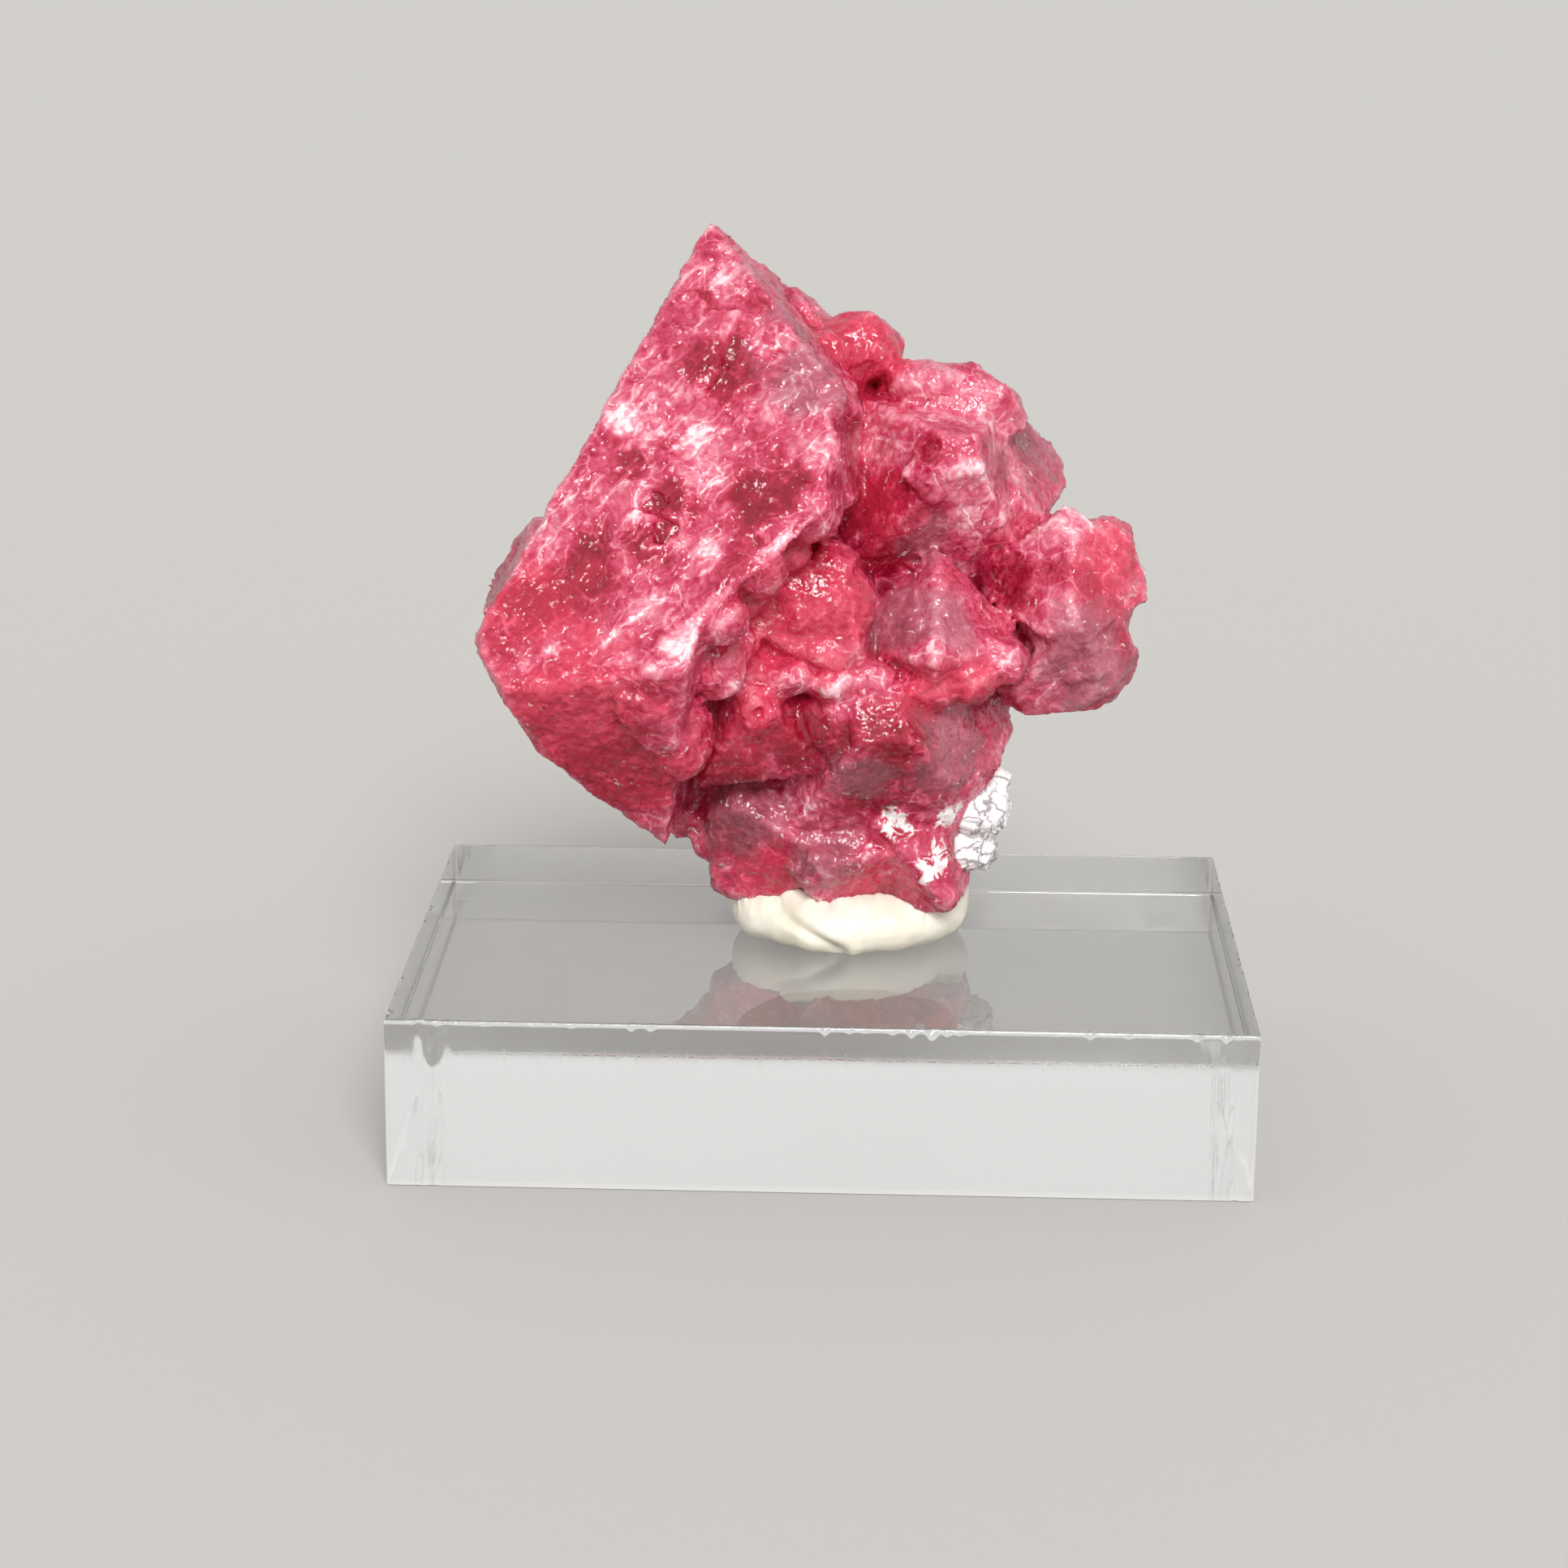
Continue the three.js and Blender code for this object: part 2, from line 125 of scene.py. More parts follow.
def new_material(name):
    """A material with an empty node tree."""
    material = bpy.data.materials.new(name)
    material.use_nodes = True
    material.node_tree.nodes.clear()
    return material, material.node_tree


def per(size):
    """The scale at which a texture's features have this size in millimetres."""
    return 1 / (size * MM)


# %% [markdown]
# ## The floor, the room and the lights
#
# A plain pale floor and a soft even room. The key light is a sun with a very wide disc, like
# a large soft box far away, so that the floor is lit as evenly as the specimen. It shines from
# above the camera, a little to the right, because from the left the flat show face would
# mirror it. The room itself fills in the shadows.
# The floor lies a hair below the block, because the real block has a film of air under it,
# and that film is what makes its underside a mirror from inside.

# %% Floor
FLOOR_GAP = 0.03
FLOOR_WIDTH = 6000

floor_material, tree = new_material("pale_floor")
add(
    tree,
    "OutputMaterial",
    {"Surface": add(tree, "BsdfPrincipled", {"Base Color": linear("#c4c2be"), "Roughness": 0.8})},
)
floor_mesh = bpy.data.meshes.new("floor")
side = FLOOR_WIDTH / 2 * MM
level = -FLOOR_GAP * MM
corners = [(-side, -side, level), (side, -side, level), (side, side, level), (-side, side, level)]
floor_mesh.from_pydata(corners, [], [(0, 1, 2, 3)])
floor_mesh.materials.append(floor_material)
floor = bpy.data.objects.new("floor", floor_mesh)
bpy.context.scene.collection.objects.link(floor)
print("floor", FLOOR_WIDTH, "mm wide,", FLOOR_GAP, "mm under the block")

# %% Lights
KEY_TOWARDS = Vector((0.15, -0.9, 0.68))
KEY_STRENGTH = 2.7
KEY_WIDTH = math.radians(24)

key_light = bpy.data.lights.new("key", "SUN")
key_light.energy = KEY_STRENGTH
key_light.angle = KEY_WIDTH
key = bpy.data.objects.new("key", key_light)
key.rotation_euler = KEY_TOWARDS.to_track_quat("Z", "Y").to_euler()
bpy.context.scene.collection.objects.link(key)

# The room is brightest near the floor, so that the clear block, through which the room
# behind it is seen, looks as pale as the floor
world = bpy.data.worlds.new("studio")
world.use_nodes = True
room = world.node_tree
up = add(room, "SeparateXYZ", {"Vector": add(room, "TexCoord").outputs["Generated"]}).outputs["Z"]
brightness = add(
    room,
    "MapRange",
    {"Value": up, "From Min": 0.2, "From Max": 0.7, "To Min": 0.9, "To Max": 0.62},
)
backdrop = room.nodes["Background"]
backdrop.inputs["Color"].default_value = linear("#f6f5f4")
room.links.new(brightness.outputs[0], backdrop.inputs["Strength"])
bpy.context.scene.world = world
bpy.context.scene.view_settings.view_transform = "Standard"
print("key light towards", tuple(round(share, 2) for share in KEY_TOWARDS))

# %% [markdown]
# ## Fine meshes
#
# The CAD solids have large flat facets. To give them the fine relief of the real thing they
# are rebuilt as an even net of small quads, whose points can then be moved one by one. A
# voxel remesh does that. It rounds each edge by about a voxel, as handling does to a real
# crystal's edges.


# %% Helpers for fine meshes
def fine_mesh(node, voxel, lumps=()):
    """A copy of a CAD node's mesh as small even quads, with this voxel in millimetres.
    Closed lumps given as lists of corner points are fused to it."""
    rough = bmesh.new()
    rough.from_mesh(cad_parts[node].data)
    for corners in lumps:
        made = [rough.verts.new(Vector(corner) * MM) for corner in corners]
        hull = bmesh.ops.convex_hull(rough, input=made)
        spare = [v for v in hull["geom_interior"] if isinstance(v, bmesh.types.BMVert)]
        bmesh.ops.delete(rough, geom=spare, context="VERTS")
    mesh = bpy.data.meshes.new("rough")
    rough.to_mesh(mesh)
    rough.free()
    copy = bpy.data.objects.new("copy", mesh)
    bpy.context.scene.collection.objects.link(copy)
    remesh = copy.modifiers.new("remesh", "REMESH")
    remesh.mode = "VOXEL"
    remesh.voxel_size = voxel * MM
    graph = bpy.context.evaluated_depsgraph_get()
    mesh = bpy.data.meshes.new_from_object(copy.evaluated_get(graph))
    bpy.data.objects.remove(copy)
    mesh.shade_smooth()
    return mesh


def read_mesh(mesh):
    """A mesh's points in millimetres, and its normals."""
    points = np.empty(len(mesh.vertices) * 3)
    mesh.vertices.foreach_get("co", points)
    normals = np.empty(len(mesh.vertices) * 3)
    mesh.vertex_normals.foreach_get("vector", normals)
    return points.reshape(-1, 3) / MM, normals.reshape(-1, 3)


def place_points(mesh, points):
    mesh.vertices.foreach_set("co", (points * MM).ravel())
    mesh.update()


def keep_mark(mesh, name, values):
    """Stores one number for each point of a mesh, for its material to read."""
    mesh.attributes.new(name, "FLOAT", "POINT").data.foreach_set("value", values)


def show_piece(name, mesh, material, node):
    """Puts a finished piece in the scene in the place of a CAD node."""
    piece = bpy.data.objects.new(name, mesh)
    bpy.context.scene.collection.objects.link(piece)
    mesh.materials.clear()
    mesh.materials.append(material)
    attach(piece, "root")
    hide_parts(node)
    print(name, "has", len(mesh.polygons), "faces")


# %% [markdown]
# Relief is a sum of a few fields of noise, each with its size and its height in millimetres.
# Two kinds are needed. Soft noise gives swells and grain. For broken, frosted crystal there
# are small flat plates: each cell of a field of cells is tilted its own way, so neighbours
# meet in little steps, and each plate catches the light at once, as a cleaved chip does.


# %% Helpers for relief
# Without a seed, the noise that leans the plates would be another one in each run
PLATES_SEED = 4
# Each field reads its noise at another place, and these are the steps from one to the next
SOFT_STEPS = (17.3, 5.1, 0)
PLATES_STEPS = (0, 11.7, 3.3)
LEAN_STEP = 5.3  # how much farther apart the places are where the plates' leans are read

noise.seed_set(PLATES_SEED)


def soft(points, size, octaves=3, seed=0):
    """Soft noise, about -1 to 1, with swells of this size."""
    offset = Vector([seed * step for step in SOFT_STEPS])
    return np.array([noise.fractal(Vector(p) / size + offset, 1.0, 2.0, octaves) for p in points])


def plates(points, size, seed=0):
    """The height in millimetres of tilted plates of this size, each with a slope of up to 1."""
    offset = Vector([seed * step for step in PLATES_STEPS])
    heights = []
    for p in points:
        place = Vector(p) / size + offset
        middle = noise.voronoi(place)[1][0]
        lean = noise.noise_vector(middle * LEAN_STEP)
        heights.append(lean.dot(place - middle) * size)
    return np.array(heights)


def ramp(values, low, high):
    """0 below low, 1 above high, and a smooth rise between them."""
    share = np.clip((values - low) / (high - low), 0, 1)
    return share * share * (3 - 2 * share)


# %% [markdown]
# How sharply a surface turns tells its edges from its faces. A point on an edge stands out of
# the middle of its neighbours, and a point in a crevice lies below it. Edges are where a
# crystal is chipped and looks pale. Crevices get painted shade, since little light comes out
# of them.


# %% Helpers for edges and crevices
EVENING = 0.6  # how far each round draws a point's height to that of its neighbours


def neighbours_of(mesh):
    """A function that takes one number a point and gives the mean of each one's neighbours."""
    count = len(mesh.vertices)
    ends = np.empty(len(mesh.edges) * 2, dtype=np.int64)
    mesh.edges.foreach_get("vertices", ends)
    one, other = ends.reshape(-1, 2).T
    number = np.bincount(ends, minlength=count)

    def mean(values):
        total = np.bincount(one, values[other], count)
        total += np.bincount(other, values[one], count)
        return total / number

    return mean


def middles(mean, points):
    """The middle of each point's neighbours, by the function that neighbours_of gives."""
    return np.stack([mean(points[:, axis]) for axis in range(3)], axis=1)


def standing_out(mesh, points, normals, rounds):
    """How far each point stands out of its neighbours' middle, evened out over some rounds."""
    mean = neighbours_of(mesh)
    height = ((points - middles(mean, points)) * normals).sum(axis=1)
    for _ in range(rounds):
        height += EVENING * (mean(height) - height)
    return height


# %% [markdown]
# ## The spinel crystals: form
#
# Spinel grows as octahedra. The big crystal's show face is flat, with faint hummocks and
# steps. The smaller crystals are frosted all over with plates from under one to nearly two
# millimetres wide, and their edges are chipped.
#
# The CAD solid has the crystals' main forms. Where the big crystal is broken off, the real
# specimen has rubble and rounded crystals that soften the step, and those are fused on here
# as faceted lumps before the remesh. Each lump is the hull of points spread evenly over an
# ellipsoid and pushed in a little at random.

# %% Lumps
LUMPS = [
    # Middle, and radii across, front to back, and up
    ((-4.6, -7.4, 30.0), (1.9, 1.7, 2.2)),  # along the break of the big crystal
    ((-2.8, -7.0, 31.9), (2.0, 1.5, 1.9)),
    ((-1.0, -5.8, 33.6), (1.8, 1.5, 2.0)),
    ((-0.2, -5.0, 39.2), (1.0, 1.3, 1.5)),  # on that edge, a little proud of the show face
    ((-0.1, -6.6, 36.6), (0.9, 1.3, 1.6)),
    ((-1.2, -8.2, 34.0), (1.7, 1.6, 1.9)),
    ((-3.4, -9.6, 31.3), (1.5, 1.5, 1.6)),
    ((-5.4, -10.5, 28.9), (1.5, 1.5, 1.6)),
    ((-1.0, -4.9, 28.5), (3.9, 2.7, 3.3)),  # the red crystal in the middle
    ((1.2, 2.2, 40.8), (2.5, 2.0, 2.1)),  # the bead
    ((-0.6, 0.6, 40.4), (1.8, 1.6, 1.7)),
    ((6.0, 2.2, 37.3), (4.6, 2.6, 3.0)),  # the upper right crystal's top
    ((13.2, -0.2, 28.4), (3.3, 2.6, 4.2)),  # the right crystal's round outline
    ((14.4, 0.2, 30.2), (2.0, 1.9, 2.2)),
    ((13.9, -0.4, 27.2), (2.2, 1.9, 2.4)),
    ((13.1, -0.4, 25.2), (3.3, 2.4, 3.6)),
    ((0.8, -4.9, 22.6), (2.8, 1.8, 2.5)),  # below the ledge
    ((-8.0, -10.6, 27.6), (2.0, 1.7, 1.6)),  # the frosty lump by the lower face
    ((-4.9, -7.0, 26.8), (1.5, 1.6, 1.5)),  # where the ledge of rubble begins
    ((-5.7, -8.2, 26.0), (1.6, 1.5, 2.2)),
    ((-7.4, -8.6, 22.2), (1.7, 1.9, 2.6)),  # the lower face's right edge
]
LUMP_CORNERS = 26
LUMP_ROUGHNESS = 0.08
GOLDEN_ANGLE = math.pi * (3 - math.sqrt(5))


def lump(middle, radii, random):
    """The corner points of a faceted lump."""
    corners = []
    for i in range(LUMP_CORNERS):
        up = 1 - (2 * i + 1) / LUMP_CORNERS
        angle = i * GOLDEN_ANGLE
        level = math.sqrt(1 - up * up)
        way = np.array([math.cos(angle) * level, math.sin(angle) * level, up])
        corners.append(middle + way * radii * (1 - LUMP_ROUGHNESS * random.random()))
    return corners


random = np.random.default_rng(7)
lumps = [lump(np.array(middle), np.array(radii), random) for middle, radii in LUMPS]
print("lumps:", len(lumps))

# %% Spinel mesh
CRYSTAL_VOXEL = 0.235
# How far a point stands out of its neighbours, in millimetres, where an edge begins, and
# where it is fully one
EDGE_RANGE = (0.005, 0.02)

crystal_mesh = fine_mesh("spinel_crystals", CRYSTAL_VOXEL, lumps)
points, normals = read_mesh(crystal_mesh)
outstanding = standing_out(crystal_mesh, points, normals, rounds=3)
edges = ramp(outstanding, *EDGE_RANGE)
# Crevices get painted shade in the spinel's tone
painted_crevice_shade = ramp(-outstanding, *EDGE_RANGE)
print("crystal points:", len(points), "share on edges:", round(float(edges.mean()), 3))

# %% [markdown]
# The big crystal's show face needs care, since it is what the eye meets first. Its plane
# follows from the octahedron's middle and the way the face looks. The CAD solid has growth
# pits in it that are deeper than the real ones, so they are filled until a third of their
# depth is left. The pits end before the face's own edges, and so does the filling.

# %% The show face
MAIN_CENTRE = Vector((-3.6, 1, 29.4))
MAIN_CORNER_DISTANCE = 18.3
SHOW_FACE = Vector((-0.2, -0.78, 0.6)).normalized()
SHOW_FACE_POINT = MAIN_CENTRE + SHOW_FACE * (MAIN_CORNER_DISTANCE / math.sqrt(3))
# An octahedron's corners lie on three axes at right angles. These are the show face's three
PEAK = Vector((-6.6, 2.0, 47.4))
LEFT_CORNER = Vector((-17.9, -10.2, 27.7))
RIGHT_CORNER = SHOW_FACE_POINT * 3 - PEAK - LEFT_CORNER  # broken off on the real crystal
# A point is on the face if its normal is nearly the face's own, by the cosine of the angle
# between them, and if it lies at most a little below the face
FACE_COSINES = (0.85, 0.97)
FACE_HEIGHTS = (-1.4, -0.6)
PIT_FILL = 0.65
PIT_HEIGHTS = (-1.3, -0.9)
PIT_FROM_EDGES = (0.04, 0.09)  # as shares of the way from the face's edge to its far corner

face_way = np.array(SHOW_FACE)
face_height = (points - SHOW_FACE_POINT) @ face_way
calm = ramp(normals @ face_way, *FACE_COSINES) * ramp(face_height, *FACE_HEIGHTS)
axes = np.array([corner - MAIN_CENTRE for corner in (PEAK, LEFT_CORNER, RIGHT_CORNER)])
from_edges = np.linalg.solve(axes.T, (points - MAIN_CENTRE).T).min(axis=0)
in_pit = (face_height < 0) * ramp(face_height, *PIT_HEIGHTS) * ramp(from_edges, *PIT_FROM_EDGES)
points -= (PIT_FILL * in_pit * face_height)[:, None] * face_way
print("share of the crystals on the show face:", round(float(calm.mean()), 3))

# %% [markdown]
# A narrow side face runs down from the peak along the show face's right edge, turned a
# little away from it. The points that stick out over the side face's plane move back to it.

# %% The side face by the peak
EDGE_END = Vector((-2.1, -3.3, 42.0))
SIDE_FACE_TURN = math.radians(17)
SIDE_FACE_REACH = 2

side_edge = (EDGE_END - PEAK).normalized()
side_face = SHOW_FACE * math.cos(SIDE_FACE_TURN)
side_face += SHOW_FACE.cross(side_edge) * math.sin(SIDE_FACE_TURN)
over = np.maximum((points - PEAK) @ np.array(side_face), 0) * (face_height > -SIDE_FACE_REACH)
points -= over[:, None] * np.array(side_face)
place_points(crystal_mesh, points)
print("the side face takes off up to", round(float(over.max()), 2), "mm")

# %% [markdown]
# Now the fine relief. It is held back on the show face, and the edges lose a little where a
# soft noise says so, as chips.

# %% Spinel relief
SHOW_FACE_CALM = 0.6
RELIEF_MIDDLE = 0.05
SWELL = 2.2
SWELL_HEIGHT = 0.12
LARGE_PLATE = 1.7
LARGE_PLATE_SLOPE = 0.15
SMALL_PLATE = 0.8
SMALL_PLATE_SLOPE = 0.24
GRAIN = 0.5
GRAIN_HEIGHT = 0.03
EDGE_CHIP = 0.9
EDGE_CHIP_DEPTH = 0.14

points, normals = read_mesh(crystal_mesh)
frosted = 1 - SHOW_FACE_CALM * calm
relief = RELIEF_MIDDLE + SWELL_HEIGHT * soft(points, SWELL, seed=1) * frosted
relief += LARGE_PLATE_SLOPE * plates(points, LARGE_PLATE, seed=1) * frosted
relief += SMALL_PLATE_SLOPE * plates(points, SMALL_PLATE, seed=2) * frosted
relief += GRAIN_HEIGHT * soft(points, GRAIN, seed=2)
relief -= EDGE_CHIP_DEPTH * edges * ramp(soft(points, EDGE_CHIP, seed=3), 0, 0.5)
points = points + normals * relief[:, None]
place_points(crystal_mesh, points)
keep_mark(crystal_mesh, "edge", edges)
keep_mark(crystal_mesh, "crevice_shade", painted_crevice_shade)
keep_mark(crystal_mesh, "show_face", calm)
print("relief from", round(float(relief.min()), 2), "to", round(float(relief.max()), 2), "mm")

# %% [markdown]
# ## The spinel crystals: where the colour changes
#
# Where a crystal is clear you look deep into it, and it is crimson. Where it is full of
# healed cracks it scatters light and turns rose or pale pink, and some parts have a mauve
# grey frosted skin. The spots below are listed with the middle and the radius of each in
# millimetres. Noise then frays their outlines.

# %% Colour spots
# Some spots paint shade or light instead of the crystal's own colour, as noted at each
CLEAR_AND_SHADED_SPOTS = [
    (-6, -3.5, 40.5, 2),  # windows in the show face, from the peak down
    (-7, -0.6, 43.9, 0.9),
    (-3.4, -8.6, 34.7, 1.9),
    (-8.1, -7.6, 34.4, 1.1),
    (-10.1, -6, 35.9, 1.1),
    (-9.4, -8.8, 32.5, 1.1),
    (-12.3, -9.1, 31.1, 2),
    (-15.3, -9.7, 29.3, 1.6),
    (-10.5, -9.5, 20.5, 3),  # the foot of the lower left face
    # painted shade in the notch right of the big crystal
    (1, -1.5, 33, 2),  # the dark notch right of the big crystal
    (3.6, -2.9, 33.5, 2.2),
    (2.5, -2, 30.5, 2),
    (5.2, -3.6, 36.2, 1.3),
    (9.6, 3.7, 36.3, 2),
    (9.5, -1.7, 29.5, 1.6),
    (-1.4, -6.4, 30.7, 1.6),
    # painted shade on the undersides
    (-0.8, -5.5, 21.5, 3),  # the undersides
    (3.4, -6.4, 20.8, 2.4),
    (-6, -5.5, 19, 2.4),
    (2.5, -5.5, 18.5, 2.4),
    (-5.2, -3.2, 15.8, 2),
    # painted shade under the bead
    (2.2, 1.6, 39.2, 1.4),  # under the bead
]
RED_SPOTS = [
    (1.5, 1, 41, 3.4),  # the bead
    (-1.5, -7, 28.5, 4.6),  # the red crystal in the middle
    (-13, -11.5, 24, 4.6),  # the lower left face
    (-9.5, -9.5, 20, 3),
    (15, -1.5, 30, 3),  # the right crystal's tip
    (6, -6, 24, 2.6),  # the lobes under the pyramid
    (8.5, -5, 24, 1.8),
    (-4.5, -7.5, 22, 3),  # the hanging tip
    (2.5, -1.5, 33, 2.4),
    (-3.5, -2.5, 13.5, 2.4),
    (2, -3.5, 13, 1.6),
    (-15, -9.5, 29.5, 3),
]
PALE_AND_LIT_SPOTS = [
    (-5.6, -0.6, 44.5, 1.4),  # under the peak
    (-4.8, -2.4, 42, 1.6),
    (-6.5, -6.6, 36, 1.7),  # streaks across the show face
    (-6.5, -9.6, 31.8, 1.2),
    (-9, -11.4, 29.2, 1.2),
    (-3.2, -5.6, 38.6, 1.6),
    (-1, -7.5, 36.9, 1.2),
    (-10.7, -4.3, 37.8, 1.0),
    (-11.5, -12.5, 27, 2.2),  # the ridge under the show face
    (-7.5, -12.5, 28, 1.2),
    # a painted highlight: the bright band along the upper right crystal
    (2.5, -1.2, 36.2, 2.2),  # the band along the upper right crystal
    (5.5, 0, 38.2, 3.4),
    # painted light on the upper right crystal where it is in shade
    (6.6, -3, 33.8, 2.6),
    (4.4, -2.6, 35.2, 1.6),
    (7.8, -2, 32.5, 2),
    (11, 2, 36, 2.6),
    (9.4, -1.2, 32.4, 1.6),
    (13, -1.7, 32.5, 2.2),
    (12, -3.6, 28.6, 1.4),
    (8, -5, 25.5, 2),
    (-4, -7, 25.5, 2.4),  # the ledge of rubble
    (0, -7, 25, 2.4),
]
GREY_AND_SHADED_SPOTS = [
    # painted shade on the side face by the peak, which is turned from the light
    (-4.4, 0, 45.4, 1.2),  # the side face by the peak
    (-2.0, -2.0, 43.4, 1.5),
    (-1.5, -4.5, 40.5, 2.6),  # the big crystal's shoulder
    (10, 5, 36, 3.6),
    (5, -2, 31.5, 1.6),
    (13.5, -3, 25, 3.6),  # the foot of the right crystal
    (4, -4, 27.5, 2.6),  # the pyramid in the middle
    (6, -5, 27.5, 2),
    # painted shade on the undersides
    (6.5, -4, 20.5, 3),  # the undersides
    (1.5, -5.5, 19.5, 2),
    (-4.5, -3.5, 16.5, 2.6),
    (0, -4.5, 14.5, 2.4),
    (-15.5, 4.5, 27, 4.5),
]
CALCITE_AND_GLARE_SPOTS = [
    # white left by calcite, and painted glare on the crinkled crystal beside it
    (3.8, -3.9, 16.2, 1.5),  # traces of calcite by the remnant
    (5.6, -3.6, 14.4, 1.3),
    (6.6, -3, 16.6, 1.1),
]


# %% Marks for the crystals' colours
SPOT_FADE = (0.5, 1.2)  # where a spot begins to fade and where it ends, as shares of its radius
FRAY = 0.5
FRAY_SIZE = 1.6
CLOUD_SIZE = 2.6


def spots(places, fray):
    """How far each crystal point belongs to a set of spots, from 0 to 1."""
    share = np.zeros(len(points))
    for *middle, radius in places:
        far = np.linalg.norm(points - middle, axis=1) / radius + fray
        share = np.maximum(share, 1 - ramp(far, *SPOT_FADE))
    return share


fray = FRAY * soft(points, FRAY_SIZE, octaves=4, seed=5)
COLOUR_SPOTS = {
    "clear": CLEAR_AND_SHADED_SPOTS,
    "red": RED_SPOTS,
    "pale": PALE_AND_LIT_SPOTS,
    "grey_and_shade": GREY_AND_SHADED_SPOTS,
    "white": CALCITE_AND_GLARE_SPOTS,
}
for name, places in COLOUR_SPOTS.items():
    share = spots(places, fray)
    keep_mark(crystal_mesh, name, share)
    print(name, "covers", round(float(share.mean()), 3))
# Clouds of cracks are large enough to be kept at the mesh's points, as the spots are
keep_mark(crystal_mesh, "fray", fray)
keep_mark(crystal_mesh, "clouds", soft(points, CLOUD_SIZE, octaves=5, seed=11))

# %% [markdown]
# ## The spinel crystals: material
#
# Spinel is a hard glassy oxide, and a trace of chromium makes it red. Its refractive index is
# 1.718, so it glints more than glass does. These crystals are translucent: light goes in,
# scatters at countless small cracks and comes out pink. The shader therefore lets a share of
# the light through, absorbs green and blue on the way, and scatters much of the rest just
# under the skin. What the eye gets is glowing rose with deep crimson windows.
#
# The veils of cracks in it wander, and so do the creases in the calcite further on. Their
# textures are therefore read at a place that soft noise has moved.


# %% Helper for wandering patterns
def wandering(tree, place, size, length):
    """A texture's place, moved by up to this length by noise with swells of this size."""
    swells = add(tree, "TexNoise", {"Vector": place, "Scale": per(size), "Detail": 3.0})
    step = [length * MM] * 3
    return add(
        tree,
        "VectorMath",
        {0: swells.outputs["Color"], 1: step, 2: place},
        operation="MULTIPLY_ADD",
    )


# %% Spinel marks and mottle
spinel, tree = new_material("natural_pink_spinel")
place = add(tree, "TexCoord").outputs["Object"]
mark = {
    name: add(tree, "Attribute", attribute_name=name).outputs["Fac"]
    for name in [*COLOUR_SPOTS, "edge", "crevice_shade", "show_face", "fray", "clouds"]
}

# The mottle between single cracks, 0.8 mm across
mottle = add(
    tree,
    "TexNoise",
    {"Vector": place, "Scale": per(0.8), "Detail": 4.0, "Roughness": 0.6, "Distortion": 1.5},
)
print("marks the spinel reads:", len(mark))

# %% [markdown]
# Healed cracks are sheets through the crystal, so where they meet the surface they are
# threads. The walls between wandering cells give just such sheets. The real threads are under
# 0.1 mm wide, and are drawn a little wider so that they show. Wisps are finer veils of
# cracks, partly painted highlights on the etched skin, made as thin bright crests of noise.

# %% Threads and wisps
CELL = 2.6
THREAD = 0.12

bent = wandering(tree, place, size=2.4, length=2.2)
walls = add(
    tree,
    "TexVoronoi",
    {"Vector": bent, "Scale": per(CELL)},
    feature="DISTANCE_TO_EDGE",
)
threads = add(
    tree,
    "MapRange",
    {"Value": walls, "From Min": 0.0, "From Max": THREAD / CELL, "To Min": 1.0, "To Max": 0.0},
    interpolation_type="SMOOTHSTEP",
)
# Each thread fades in and out along its way
fading = add(tree, "MapRange", {"Value": mark["fray"], "From Min": -0.1, "From Max": 0.12})
cracks = add(tree, "Math", {0: threads, 1: fading}, operation="MULTIPLY")

crests = add(
    tree,
    "TexNoise",
    {"Vector": bent, "Scale": per(1.5), "Detail": 3.0, "Roughness": 0.5, "Lacunarity": 2.2},
    noise_type="RIDGED_MULTIFRACTAL",
    normalize=True,
)
veils_and_painted_highlights = add(tree, "MapRange", {"Value": crests, "From Min": 0.42, "From Max": 0.85})
print("threads", THREAD, "mm wide between cells of", CELL, "mm")

# %% [markdown]
# On the big crystal's face the veils run one way, steeply up to the right, like brushed
# streaks. The texture's space is turned so that one axis runs along them and is then
# stretched.

# %% Streaks on the show face
STREAK_WAY = Vector((0.55, 0, 0.83))
along_face = (STREAK_WAY - SHOW_FACE * STREAK_WAY.dot(SHOW_FACE)).normalized()
turn = Matrix((along_face, SHOW_FACE.cross(along_face), SHOW_FACE)).to_euler()
turned = add(tree, "Mapping", {"Vector": bent, "Rotation": turn})
stretched = add(tree, "Mapping", {"Vector": turned, "Scale": (0.13, 1.0, 0.5)})
# Streaks lie where this noise passes through its middle value, as lines of one height on a map
combed = add(tree, "TexNoise", {"Vector": stretched, "Scale": per(1.3), "Detail": 2.0})
off_line = add(tree, "Math", {0: combed, 1: 0.5}, operation="SUBTRACT")
off_line = add(tree, "Math", {0: off_line}, operation="ABSOLUTE")
lines = add(
    tree,
    "MapRange",
    {"Value": off_line, "From Min": 0.0, "From Max": 0.05, "To Min": 1.0, "To Max": 0.0},
)
in_clouds = add(tree, "MapRange", {"Value": mark["clouds"], "From Min": -0.25, "From Max": 0.2})
streaks = add(tree, "Math", {0: lines, 1: mark["show_face"]}, operation="MULTIPLY")
streaks = add(tree, "Math", {0: streaks, 1: in_clouds}, operation="MULTIPLY")
print("streaks run along", tuple(round(share, 2) for share in along_face))

# %% [markdown]
# The tone runs from 0, deepest, to 1, palest. The clouds, the mottle and the spots set it,
# edges and cracks make it paler, and crevices make it deeper, as painted shade. A ramp turns it
# to a colour.

